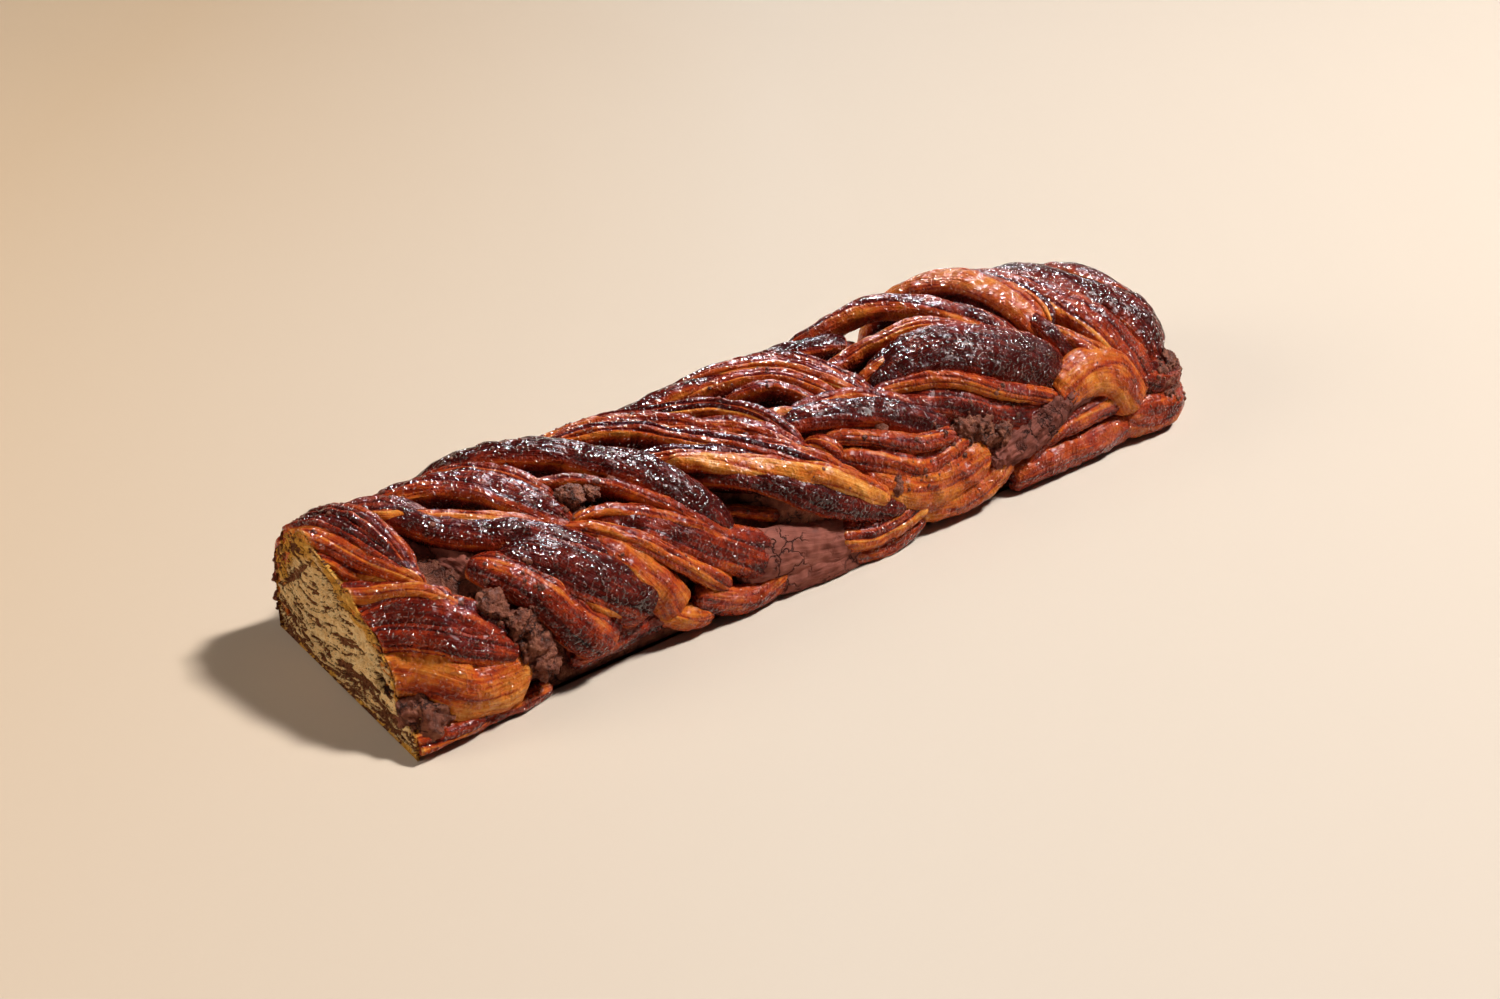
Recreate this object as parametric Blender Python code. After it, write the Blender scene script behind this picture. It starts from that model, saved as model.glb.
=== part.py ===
"""A chocolate babka: a long loaf of twisted, filled dough, cut across at one end.

A filled roll of dough is slit along its length, so that its layers lie open, and the two
halves are twisted round each other and baked in a long tin. Each pass of a half over the top
is a fan of ridges, one for each layer of dough. The ridges rise at the back of the loaf, cross
the top and run down to the front, further along. They are modelled one by one as folds, which
stand on a plain core, and all of it is then joined into one solid, cut off square at the near
end and set flat on its base.

A place on the loaf is given by its distance along it from the cut end, in millimetres, and by
its angle round it, in degrees: 0 is the foot of the front side, 90 the middle of the top and
180 the foot of the back side.
"""

from math import cos, pi, radians, sin

import bmesh
import bpy
from mathutils import Matrix, Vector, noise

MM = 0.001

# The loaf as a whole, in millimetres.
LENGTH = 368.0
WIDTH = 100.0
END_ROUNDING = 16.0
END_FACE = 34.0
STATION_STEP = 35.5
CREST_HEIGHTS = (55, 57, 58, 56, 54, 58, 57, 66, 67, 61, 52)
SQUARENESS = 2.6
SMALLEST_SHARE = 0.02

# Next to the cut the front shoulder has sunk in: by how much of the section, how far along, up
# to which angle, and over how many degrees this starts at the foot and ends at the top.
SHOULDER_DROP = 0.22
SHOULDER_REACH = 20.0
SHOULDER_FOOT = 22
SHOULDER_TOP = 112
SHOULDER_BLEND = 45

# The core that the folds stand on, and the tin that pressed them flat at the sides.
CORE_DEPTH = 11.0
CUT_CORE_DEPTH = 3.0
CUT_CORE_REACH = 25.0
FOOT_CORE_DEPTH = 7.0
FOOT_CORE_REACH = 20.0
CORE_RINGS = 52
CORE_SIDES = 20
CORE_START = -10
WALL_GIVE = 0.12
FLOOR_GIVE = 4.0

# Deeper hollows between the folds: place, reach along and round, and depth below the core.
HOLLOWS = (
    (246, 124, 26, 38, 9),
    (132, 38, 9, 12, 6),
    (37, 32, 6, 10, 4),
    (181, 84, 9, 11, 5),
    (228, 46, 10, 8, 3),
)

# How a fold is built up: stations along it, and the sides of its upper and lower half.
STATIONS = 9
UPPER_SIDES = 5
LOWER_SIDES = 3
END_TAPER = 3.0
TUCK = 6.0
TUCK_CURVE = 2.5
TIP_DROP = 2.5
ROOT = 2.0
SHALLOWEST = 1.5
ROOT_WIDTH = 0.9
RISE_START = 3.0
RISE_SHARE = 0.35

# Small steps, in millimetres and degrees or as a share, with which directions are measured.
PLACE_STEP = 0.5
ROUTE_STEP = 0.02
HAIR = 1e-6

# Crumbs of filling that lie in the grooves.
LUMP_SINK = 1.0
LUMP_DEPTH = 0.5
LUMP_FLATNESS = 0.35
LUMP_ROUGHNESS = 0.4
LUMP_GRAIN = 1.7

# The grain of the finished skin, and about how many triangles it has.
SKIN_GRAIN = 0.8
TRIANGLES = 10400
SHARP_ANGLE = 40
ROOM_SPARE = 40

CRUST_COLOUR = (0.13, 0.032, 0.012, 1.0)
CRUST_ROUGHNESS = 0.32


def ease(share):
    """A smooth step from 0 to 1 as the share goes from 0 to 1."""
    share = min(max(share, 0.0), 1.0)
    return share * share * (3 - 2 * share)


def crest_height(u):
    """How tall the loaf is at a distance u from the cut end."""
    place = min(max(u / STATION_STEP, 0.0), len(CREST_HEIGHTS) - 1.001)
    station = int(place)
    blend = ease(place - station)
    return CREST_HEIGHTS[station] * (1 - blend) + CREST_HEIGHTS[station + 1] * blend


def round_the_end(u):
    """Where a place lies along the loaf and the share of the section it has there.

    Past the far end's rounding a place goes on up the end face, towards the middle of it.
    """
    start = LENGTH - END_ROUNDING
    turn = min(max(u - start, 0.0) / END_ROUNDING, pi / 2)
    share = 1 - END_ROUNDING * (1 - cos(turn)) / (WIDTH / 2)
    inwards = max(u - start - END_ROUNDING * pi / 2, 0.0) / END_FACE
    return min(u, start) + END_ROUNDING * sin(turn), share * max(1 - inwards, SMALLEST_SHARE)


def shoulder_share(u, angle):
    """The share of the section left at the front shoulder, which sinks in next to the cut."""
    front = ease(angle / SHOULDER_FOOT) * ease((SHOULDER_TOP - angle) / SHOULDER_BLEND)
    return 1 - SHOULDER_DROP * front * ease(1 - u / SHOULDER_REACH)


def outline(u, angle):
    """The point of the loaf's smooth outline at u and angle, in millimetres."""
    across, up = cos(radians(angle)), sin(radians(angle))
    x, share = round_the_end(u)
    share *= shoulder_share(u, angle)
    side = abs(across) ** (2 / SQUARENESS) * (1 if across > 0 else -1)
    rise = abs(up) ** (2 / SQUARENESS) * (1 if up > 0 else -1)
    return Vector((x, -WIDTH / 2 * side * share, crest_height(x) * rise * share))


def outward(u, angle):
    """The direction that points straight out of the outline at u and angle."""
    along = outline(u + PLACE_STEP, angle) - outline(u - PLACE_STEP, angle)
    around = outline(u, angle + PLACE_STEP) - outline(u, angle - PLACE_STEP)
    return along.cross(around).normalized()


def pressed(point):
    """The point after the tin's walls have pushed it back in, clear of far below the floor."""
    x, y, z = point
    past = abs(y) - WIDTH / 2
    if past > 0:
        y = (WIDTH / 2 + past * WALL_GIVE) * (1 if y > 0 else -1)
    if x > LENGTH:
        x = LENGTH + (x - LENGTH) * WALL_GIVE
    return Vector((x, y, max(z, -FLOOR_GIVE)))


def along_route(route, share):
    """The place (u, angle) at a share of the way along a route, on a smooth curve."""
    spans = len(route) - 1
    place = min(share * spans, spans - HAIR)
    first = int(place)
    t = place - first
    before = route[max(first - 1, 0)]
    start, end = route[first], route[first + 1]
    after = route[min(first + 2, spans)]
    place = []
    for a, b, c, d in zip(before, start, end, after):
        bend = (2 * a - 5 * b + 4 * c - d) * t * t
        twist = (3 * b - a - 3 * c + d) * t**3
        place.append((2 * b + (c - a) * t + bend + twist) / 2)
    return tuple(place)


def surface_point(route, share, lift):
    """The point over the outline at a share of the way along a route."""
    u, angle = along_route(route, share)
    return outline(u, angle) + outward(u, angle) * lift


def ring_of(route, share, width, crest, free):
    """The points of a fold's section at a share of the way along its route."""
    end = abs(2 * share - 1)
    narrow = max(1 - end**END_TAPER, 0.0) ** 0.5
    lift = crest - TUCK * end**TUCK_CURVE
    u, angle = along_route(route, share)
    out = outward(u, angle)
    ahead = surface_point(route, min(share + ROUTE_STEP, 1), lift)
    behind = surface_point(route, max(share - ROUTE_STEP, 0), lift)
    across = (ahead - behind).normalized().cross(out).normalized()
    half_width = width / 2 * narrow
    rise = min(half_width, RISE_START + RISE_SHARE * half_width)
    depth = rise if free else max(lift + CORE_DEPTH + ROOT - rise, SHALLOWEST) * narrow
    middle = outline(u, angle) + out * (lift - rise)
    points = []
    for i in range(UPPER_SIDES + 1):
        turn = pi * i / UPPER_SIDES
        points.append(middle + across * half_width * cos(turn) + out * rise * sin(turn))
    for i in range(1, LOWER_SIDES):
        turn = pi * (1 + i / LOWER_SIDES)
        side = across * half_width * ROOT_WIDTH * cos(turn)
        points.append(middle + side + out * depth * sin(turn))
    return [pressed(p) for p in points]


def add_fold(mesh, route, width, crest, free=False):
    """Adds one fold of dough to the mesh: a closed, tapered strip along a route on the loaf."""
    shares = [(i + 0.5) / (STATIONS + 1) for i in range(STATIONS + 1)]
    rings = []
    for share in shares:
        points = ring_of(route, share, width, crest, free)
        rings.append([mesh.verts.new(p * MM) for p in points])
    count = len(rings[0])
    for low, high in zip(rings, rings[1:]):
        for i in range(count):
            j = (i + 1) % count
            mesh.faces.new((low[i], low[j], high[j], high[i]))
    for ring, share, order in ((rings[0], 0.0, -1), (rings[-1], 1.0, 1)):
        tip = mesh.verts.new(pressed(surface_point(route, share, crest - TUCK - TIP_DROP)) * MM)
        for i in range(count):
            j = (i + 1) % count
            mesh.faces.new((ring[i], ring[j], tip)[::order])


def add_lump(mesh, u, angle, size):
    """Adds a rough crumb of filling of about that radius, half sunk between the folds."""
    out = outward(u, angle)
    centre = outline(u, angle) - out * (LUMP_SINK + LUMP_DEPTH * size)
    made = bmesh.ops.create_icosphere(mesh, subdivisions=2, radius=size)
    for vert in made["verts"]:
        place = vert.co / size * LUMP_GRAIN + Vector((u, angle, 0))
        rough = 1 + LUMP_ROUGHNESS * noise.noise(place)
        flat = out * (out.dot(vert.co) * LUMP_FLATNESS)
        vert.co = pressed((vert.co - flat) * rough + centre) * MM


# The folds: route of (distance, angle), width, height of the crest over the outline.
NEAR_TOP = (
    (((-4, 165), (10, 128), (19, 100), (22, 74)), 9, 2),
    (((-14, 150), (4, 124), (13, 98), (20, 72)), 8, 1),
    (((-18, 130), (0, 112), (9, 90), (18, 66)), 8, -0.5),
    (((-17, 112), (0, 98), (6, 86), (13, 74)), 7, -4),
)
NEAR_FRONT = (
    (((-17, 92), (1, 84), (12, 68), (20, 56)), 6, -3),
    (((-17, 90), (0, 81), (17, 59), (31, 38)), 5.5, -0.5),
    (((-17, 78), (2, 66), (17, 48), (36, 26)), 17, -1),
    (((-17, 64), (1, 53), (18, 34), (39, 19)), 11, 0),
    (((-17, 40), (2, 30), (20, 13), (42, 9)), 20, 0),
    (((-17, 6), (1, 5), (28, 2), (48, 0)), 9, -1),
)
SECOND_PASS = (
    (((13, 120), (28, 92), (38, 55), (48, 22)), 15, -7),
    (((3, 135), (26, 98), (47, 85), (70, 68)), 6, -1),
    (((13, 128), (38, 84), (61, 64), (90, 32)), 12, 0),
    (((47, 64), (59, 51), (73, 34), (91, 17)), 19, 2),
    (((45, 66), (59, 41), (72, 24), (86, 15)), 4.5, 0.5),
    (((38, 66), (52, 42), (63, 22), (74, 9)), 17, 1),
    (((62, 6), (80, 7), (94, 9), (106, 8)), 12, -4),
)
THIRD_PASS = (
    (((0, 150), (18, 122), (31, 105), (38, 92)), 10, 0),
    (((18, 150), (40, 122), (61, 96), (78, 66)), 15, 0),
    (((38, 150), (56, 118), (70, 95), (80, 84)), 7, 0),
    (((74, 66), (90, 48), (108, 28), (124, 12)), 8, 0),
    (((78, 55), (90, 34), (98, 20), (103, 10)), 14, 0),
    (((83, 66), (98, 52), (118, 33), (146, 13)), 16, 0),
    (((76, 66), (90, 62), (112, 45), (130, 28)), 5, 0),
    (((70, 92), (90, 80), (108, 58), (128, 31)), 5, 0.5),
    (((46, 150), (74, 108), (106, 80), (129, 35)), 15, 4),
    (((98, 10), (108, 5), (118, 3)), 10, -2),
    (((112, 10), (126, 5), (138, 3), (152, 6)), 12, -1),
)
FOURTH_PASS = (
    (((93, 150), (116, 128), (133, 116), (153, 102)), 10, -2),
    (((108, 140), (136, 106), (162, 86), (171, 53)), 8, 1.5),
    (((98, 130), (132, 98), (156, 78), (173, 47)), 8, 2),
    (((93, 120), (128, 92), (152, 68), (184, 31)), 9, 2),
    (((112, 88), (132, 77), (151, 62), (180, 33)), 8, 1.5),
    (((122, 80), (138, 66), (164, 44), (195, 20)), 10, 3),
    (((122, 70), (142, 54), (168, 28), (203, 13)), 16, 1),
    (((116, 62), (130, 51), (153, 31), (172, 15)), 10, -9),
    (((130, 26), (148, 16), (166, 9), (184, 6)), 22, -1),
    (((148, 4), (166, 3), (186, 2)), 14, -1),
)
FIFTH_PASS = (
    (((133, 150), (158, 124), (192, 110), (214, 74)), 9, 1.5),
    (((138, 135), (170, 112), (192, 98), (210, 76)), 8, 2),
    (((148, 120), (168, 105), (190, 93), (202, 78)), 6, 0),
    (((164, 100), (174, 94), (186, 90), (195, 80)), 5, -2),
    (((164, 84), (174, 78), (184, 74)), 5, -2),
    (((176, 80), (196, 77), (213, 68), (230, 44)), 6, 0.5),
    (((172, 74), (190, 65), (210, 58), (231, 35)), 14, 2),
    (((182, 56), (198, 47), (216, 37), (232, 31)), 7, 2),
    (((182, 48), (198, 37), (218, 25), (238, 24)), 12, 0.5),
    (((188, 34), (206, 20), (226, 14), (248, 14)), 20, 1),
    (((175, 62), (181, 51), (186, 43)), 8, -2),
    (((176, 10), (190, 7), (204, 8), (216, 11)), 13, 0.5),
    (((182, 2), (198, 1), (216, 4)), 8, -0.5),
    (((216, 8), (233, 5), (248, 6), (262, 10)), 14, 0),
)
SIXTH_PASS = (
    (((206, 92), (228, 90), (253, 82), (278, 58)), 6, 1),
    (((214, 84), (226, 81), (242, 80)), 5, 0),
    (((218, 80), (240, 72), (266, 56), (294, 33)), 24, 3),
    (((212, 74), (230, 61), (256, 41), (286, 26)), 7, 1),
    (((212, 68), (232, 48), (256, 29), (282, 22)), 14, -1),
    (((252, 12), (276, 17), (296, 26), (314, 31)), 15, 1),
    (((290, 28), (306, 33), (320, 29), (330, 15)), 18, 2),
    (((278, 8), (296, 12), (314, 14), (332, 15)), 10, -1),
    (((270, 4), (278, 10), (286, 16)), 8, -2),
    (((266, 2), (286, 3), (308, 3), (330, 4)), 12, 0),
)
FAR_END = (
    (((222, 170), (246, 152), (264, 128), (280, 106)), 15, -13),
    (((264, 158), (277, 121), (292, 92), (298, 62)), 21, 2),
    (((288, 80), (294, 68), (298, 56), (307, 38)), 8, -1),
    (((286, 110), (300, 90), (302, 74), (302, 62)), 7, 1),
    (((278, 150), (306, 104), (319, 70), (339, 22)), 20, 1),
    (((300, 64), (310, 48), (325, 34), (338, 18)), 7, 0),
    (((310, 160), (334, 106), (352, 72), (359, 34)), 25, 0.5),
    (((336, 168), (355, 122), (367, 84), (369, 46)), 18, 1),
    (((340, 176), (376, 142), (385, 92), (376, 44)), 18, 1),
    (((352, 178), (388, 150), (396, 74), (378, 20)), 20, 1),
    (((338, 26), (351, 22), (366, 22), (380, 26)), 14, 2),
    (((328, 8), (345, 7), (366, 8), (386, 10)), 19, 1),
)

# The arch: a fold that stands clear of the loaf between its ends.
ARCH_ROUTE = ((206, 174), (214, 150), (226, 126), (246, 107), (267, 83), (281, 58))
ARCH_WIDTH = 12
ARCH_CREST = 2

# The front's rows come again at the back, turned about this place, if they stay this low and
# keep clear of the gap under the arch, which is given by its start, its end and its foot.
TURN_MIDDLE = 178.0
BACK_LIMIT = 79
ARCH_GAP = (237, 276, 154)

# Low folds along the foot of the back side: how many, how far apart, route and section.
BACK_FOOT_FOLDS = 9
BACK_FOOT_STEP = 38.0
BACK_FOOT_ROUTE = ((2, 178), (20, 171), (44, 164))
BACK_FOOT_WIDTH = 17
BACK_FOOT_CREST = -0.5

# Crumbs of filling: place and size.
LUMPS = (
    (37, 42, 5), (44, 30, 5), (47, 20, 6), (49, 12, 6), (6, 13, 8), (82, 77, 7),
    (204, 22, 7), (240, 30, 6), (248, 27, 6), (256, 22, 6),
)


def core_depth(u, angle):
    """How far the core lies under the outline at u and angle."""
    up = ease(min(angle, 180 - angle) / FOOT_CORE_REACH)
    full = FOOT_CORE_DEPTH + (CORE_DEPTH - FOOT_CORE_DEPTH) * up
    depth = CUT_CORE_DEPTH + (full - CUT_CORE_DEPTH) * ease(u / CUT_CORE_REACH)
    for place, turn, reach, spread, extra in HOLLOWS:
        near = 1 - ((u - place) / reach) ** 2 - ((angle - turn) / spread) ** 2
        depth += extra * ease(near)
    return depth


def section_loop(u):
    """The core's section at u: the outline drawn in by the core's depth, closed under the floor."""
    points = []
    for i in range(CORE_SIDES + 1):
        angle = 180 * i / CORE_SIDES
        points.append(outline(u, angle) + outward(u, angle) * -core_depth(u, angle))
    points.append(Vector((points[-1].x, points[-1].y, -FLOOR_GIVE)))
    points.append(Vector((points[0].x, points[0].y, -FLOOR_GIVE)))
    return points


def add_core(mesh):
    """Adds the plain body inside the folds, from before the cut to inside the far end."""
    rings = []
    for i in range(CORE_RINGS):
        u = CORE_START + (LENGTH + END_FACE) * i / (CORE_RINGS - 1)
        rings.append([mesh.verts.new(p * MM) for p in section_loop(u)])
    count = len(rings[0])
    for low, high in zip(rings, rings[1:]):
        for i in range(count):
            j = (i + 1) % count
            mesh.faces.new((low[i], high[i], high[j], low[j]))
    mesh.faces.new(rings[0])
    mesh.faces.new(rings[-1][::-1])


def object_from(name, build, *values):
    """A mesh object made by a build function, with its faces pointing outwards."""
    mesh = bmesh.new()
    build(mesh, *values)
    bmesh.ops.recalc_face_normals(mesh, faces=mesh.faces)
    data = bpy.data.meshes.new(name)
    mesh.to_mesh(data)
    mesh.free()
    made = bpy.data.objects.new(name, data)
    bpy.context.scene.collection.objects.link(made)
    return made


def apply_modifiers(target):
    """Applies the modifiers of an object to its mesh."""
    bpy.context.view_layer.update()
    graph = bpy.context.evaluated_depsgraph_get()
    target.data = bpy.data.meshes.new_from_object(target.evaluated_get(graph))
    target.modifiers.clear()


def join(target, others, operation):
    """Joins the others to the target, or keeps what they share, and removes the others."""
    group = bpy.data.collections.new("others")
    bpy.context.scene.collection.children.link(group)
    for other in others:
        bpy.context.scene.collection.objects.unlink(other)
        group.objects.link(other)
    modifier = target.modifiers.new("join", "BOOLEAN")
    modifier.operation = operation
    modifier.solver = "MANIFOLD"
    modifier.operand_type = "COLLECTION"
    modifier.collection = group
    apply_modifiers(target)
    for other in others:
        bpy.data.objects.remove(other)
    bpy.data.collections.remove(group)


def keep_outer_shell(target):
    """Fills hollows that joining sealed and drops loose scraps: only the largest shell stays."""
    mesh = bmesh.new()
    mesh.from_mesh(target.data)
    left = set(mesh.verts)
    shells = []
    while left:
        start = left.pop()
        shell, waiting = [start], [start]
        while waiting:
            for edge in waiting.pop().link_edges:
                beside = [vert for vert in edge.verts if vert in left]
                left.difference_update(beside)
                shell += beside
                waiting += beside
        shells.append(shell)
    shells.sort(key=len)
    for shell in shells[:-1]:
        bmesh.ops.delete(mesh, geom=shell, context="VERTS")
    mesh.to_mesh(target.data)
    mesh.free()


def even_out(target):
    """Gives the joined loaf one even skin, then thins it out to the triangles it may have."""
    skin = target.modifiers.new("even skin", "REMESH")
    skin.mode = "VOXEL"
    skin.voxel_size = SKIN_GRAIN * MM
    apply_modifiers(target)
    keep_outer_shell(target)
    thinner = target.modifiers.new("fewer triangles", "DECIMATE")
    thinner.ratio = TRIANGLES / (2 * len(target.data.polygons))
    apply_modifiers(target)
    keep_outer_shell(target)


def crust_material():
    """The finish of the whole loaf: dark, glossy crust."""
    material = bpy.data.materials.new("crust")
    material.use_nodes = True
    shader = material.node_tree.nodes["Principled BSDF"]
    shader.inputs["Base Color"].default_value = CRUST_COLOUR
    shader.inputs["Roughness"].default_value = CRUST_ROUGHNESS
    return material


def half_turned(route):
    """The route as it lies once the loaf is turned round, which brings the front to the back."""
    return tuple((TURN_MIDDLE * 2 - u, 180 - angle) for u, angle in route)


def fits_at_back(route):
    """Whether a row of the front can come again at the back, clear of the arch's gap."""
    low = max(angle for _, angle in route) < BACK_LIMIT
    start, end, foot = ARCH_GAP
    return low and not any(start < u < end and angle < foot for u, angle in half_turned(route))


def all_folds():
    """Every fold of the loaf: the rows above, and the front's rows again round the back."""
    rows = list(NEAR_TOP + NEAR_FRONT)
    for group in (SECOND_PASS, THIRD_PASS, FOURTH_PASS, FIFTH_PASS, SIXTH_PASS):
        rows += group
        rows += [(half_turned(route), *rest) for route, *rest in group if fits_at_back(route)]
    for number in range(BACK_FOOT_FOLDS):
        route = tuple((u + number * BACK_FOOT_STEP, angle) for u, angle in BACK_FOOT_ROUTE)
        rows.append((route, BACK_FOOT_WIDTH, BACK_FOOT_CREST))
    return rows + list(FAR_END)


def build_loaf():
    """The finished loaf as one closed solid, in metres, on its base and centred along X."""
    babka = object_from("babka", add_core)
    pieces = [object_from("fold", add_fold, *row) for row in all_folds()]
    pieces.append(object_from("arch", add_fold, ARCH_ROUTE, ARCH_WIDTH, ARCH_CREST, True))
    pieces += [object_from("lump", add_lump, *lump) for lump in LUMPS]
    join(babka, pieces, "UNION")
    even_out(babka)
    join(babka, [object_from("room", add_room)], "INTERSECT")
    babka.data.transform(Matrix.Translation((-LENGTH / 2 * MM, 0, 0)))
    babka.data.shade_smooth()
    babka.data.set_sharp_from_angle(angle=radians(SHARP_ANGLE))
    babka.data.materials.clear()
    babka.data.materials.append(crust_material())
    return babka


def add_room(mesh):
    """The space above the floor and past the cut, which the finished loaf stays inside."""
    size = Vector((LENGTH + ROOM_SPARE, 2 * WIDTH, 2 * WIDTH)) * MM
    centre = Matrix.Translation(size / 2 - Vector((0, WIDTH, 0)) * MM)
    bmesh.ops.create_cube(mesh, size=1, matrix=centre @ Matrix.Diagonal((*size, 1)))


for existing in list(bpy.data.objects):
    bpy.data.objects.remove(existing)
build_loaf()
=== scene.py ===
# %% [markdown]
# # A chocolate babka
#
# A babka is a roll of dough and chocolate that is slit along its length, twisted and baked in a
# long tin. What the eye reads first is its many folds, so this lesson builds every fold as a
# mesh of its own, from a sphere that is drawn out along the loaf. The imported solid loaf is
# loaded first, because all that follows has to stay inside it.

# %% Load the solid loaf
from itertools import count
from math import cos, pi, radians, sin

import bmesh
import bpy
import numpy as np
from mathutils import Matrix, Vector, noise
from mathutils.bvhtree import BVHTree
from mathutils.kdtree import KDTree


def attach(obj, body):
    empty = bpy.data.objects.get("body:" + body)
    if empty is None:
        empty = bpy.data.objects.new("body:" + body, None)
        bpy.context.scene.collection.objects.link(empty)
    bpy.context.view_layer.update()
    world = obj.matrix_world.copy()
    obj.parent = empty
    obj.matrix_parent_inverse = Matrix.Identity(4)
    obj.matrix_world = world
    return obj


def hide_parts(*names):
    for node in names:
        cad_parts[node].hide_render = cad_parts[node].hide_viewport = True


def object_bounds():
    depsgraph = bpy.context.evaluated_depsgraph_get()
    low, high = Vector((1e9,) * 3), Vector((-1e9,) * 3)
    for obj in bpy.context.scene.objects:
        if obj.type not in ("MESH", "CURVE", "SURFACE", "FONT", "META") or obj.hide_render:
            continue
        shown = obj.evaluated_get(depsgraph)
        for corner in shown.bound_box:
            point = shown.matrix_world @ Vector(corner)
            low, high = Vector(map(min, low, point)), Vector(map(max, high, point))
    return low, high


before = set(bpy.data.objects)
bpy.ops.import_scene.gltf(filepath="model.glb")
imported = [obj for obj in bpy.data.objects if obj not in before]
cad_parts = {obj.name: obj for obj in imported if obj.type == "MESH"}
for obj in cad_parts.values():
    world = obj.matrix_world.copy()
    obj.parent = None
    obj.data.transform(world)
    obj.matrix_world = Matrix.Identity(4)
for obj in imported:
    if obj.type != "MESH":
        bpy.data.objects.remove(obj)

CAD_LOW, CAD_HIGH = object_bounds()
print("the solid loaf goes from", tuple(CAD_LOW), "to", tuple(CAD_HIGH))

# %% [markdown]
# ## The camera
#
# The loaf is seen from its cut end, from the front and well above. The camera's place and turn
# are given as numbers: a forward direction that looks down by 31 degrees, and a roll of under
# a degree. A camera looks along its own -Z, so its matrix has right, up and backwards as columns.

# %% Place the camera
CAMERA_PLACE = Vector((-0.3965, -0.4704, 0.3788))
CAMERA_HEADING = Vector((0.631624, 0.775265, 0))
CAMERA_DROP = radians(31.2305)
CAMERA_ROLL = radians(0.857)
CAMERA_LENS = 45.51

forward = CAMERA_HEADING * cos(CAMERA_DROP) - Vector((0, 0, sin(CAMERA_DROP)))
level = forward.cross(Vector((0, 0, 1))).normalized()
upright = level.cross(forward)
right = level * cos(CAMERA_ROLL) + upright * sin(CAMERA_ROLL)
above = upright * cos(CAMERA_ROLL) - level * sin(CAMERA_ROLL)

bpy.ops.object.select_all(action="DESELECT")
bpy.ops.object.camera_add()
camera = bpy.context.object
camera.matrix_world = Matrix.Translation(CAMERA_PLACE) @ Matrix(
    (right, above, -forward)
).transposed().to_4x4()
camera.data.lens = CAMERA_LENS
camera.data.clip_start = 0.01
bpy.context.scene.camera = camera
bpy.context.scene.view_settings.view_transform = "Standard"
print("camera at", tuple(round(x, 3) for x in camera.location))

# %% [markdown]
# ## Light and floor
#
# A fairly small key lamp stands high on the far right and throws a shadow with a slightly soft
# edge. Two more lamps light only what is glossy: a sheen from behind, and a gleam from where the
# key stands. They are what the syrup mirrors, and would burn out the dough if it took their
# light too. A weak warm lamp at the left and a warm world fill the shadows.

# %% Lamps
KEY_DIRECTION = Vector((0.6, -0.3, 1.0)).normalized()
SHEEN_DIRECTION = Vector((0.50, 0.62, 0.60)).normalized()
FILL_DIRECTION = Vector((-1.0, 0.35, 0.5)).normalized()
# Direction, distance and size in metres, power in watts, colour, and whether only gloss takes it.
LAMPS = {
    "key_light": (KEY_DIRECTION, 2.6, 0.34, 100.0, (1.0, 0.96, 0.90), False),
    "sheen_light": (SHEEN_DIRECTION, 1.5, 0.22, 55.0, (0.97, 0.97, 1.0), True),
    "gleam_light": (KEY_DIRECTION, 2.6, 0.30, 340.0, (1.0, 0.96, 0.93), True),
    "fill_light": (FILL_DIRECTION, 1.5, 0.70, 10.0, (1.0, 0.90, 0.76), False),
}

for name, (direction, distance, size, power, colour, gloss_only) in LAMPS.items():
    bpy.ops.object.light_add(type="AREA", location=direction * distance)
    lamp = bpy.context.object
    lamp.name = name
    lamp.rotation_euler = (-direction).to_track_quat("-Z", "Y").to_euler()
    lamp.data.size = size
    lamp.data.energy = power
    lamp.data.color = colour
    lamp.visible_diffuse = not gloss_only
print("lamps:", ", ".join(LAMPS))

# %% World and floor
WORLD_COLOUR = (1.0, 0.93, 0.86, 1.0)
WORLD_STRENGTH = 0.04
FLOOR_SIZE = 8

world = bpy.data.worlds.new("studio")
bpy.context.scene.world = world
world.use_nodes = True
world.node_tree.nodes["Background"].inputs["Color"].default_value = WORLD_COLOUR
world.node_tree.nodes["Background"].inputs["Strength"].default_value = WORLD_STRENGTH

bpy.ops.mesh.primitive_plane_add(size=FLOOR_SIZE)
floor = bpy.context.object
floor.name = "floor"
print("a world and a floor")

# %% [markdown]
# ## Shader helpers
#
# Shader maths reads best as plain sums. The small class below wraps a node's output, and each
# sum on it adds a Math node.

# %% Sums on a surface


class Wire:
    """A number that varies over a surface: sums on it add Math nodes."""

    def __init__(self, finish, socket):
        self.finish, self.socket = finish, socket

    def sum(self, operation, first, second):
        return self.finish.node(
            "ShaderNodeMath", {"operation": operation}, {0: first, 1: second}
        )

    def __add__(self, other):
        return self.sum("ADD", self, other)

    def __radd__(self, other):
        return self.sum("ADD", other, self)

    def __sub__(self, other):
        return self.sum("SUBTRACT", self, other)

    def __rsub__(self, other):
        return self.sum("SUBTRACT", other, self)

    def __mul__(self, other):
        return self.sum("MULTIPLY", self, other)

    def __rmul__(self, other):
        return self.sum("MULTIPLY", other, self)


print("a Wire can be added, subtracted and multiplied")

# %% [markdown]
# A second class holds a material. Its node method makes any node in one call, and the rest name
# what this loaf needs often: noise of a size, a spread, a ramp, cracks, bumps and a wet layer.

# %% Materials in code
# Cracks: how many bends to a cell, how far they bend and how wide cracked patches are, in cells.
CRACK_BENDS = 2.2
CRACK_BEND_REACH = 0.9
CRACK_PATCH = 1.6


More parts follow.
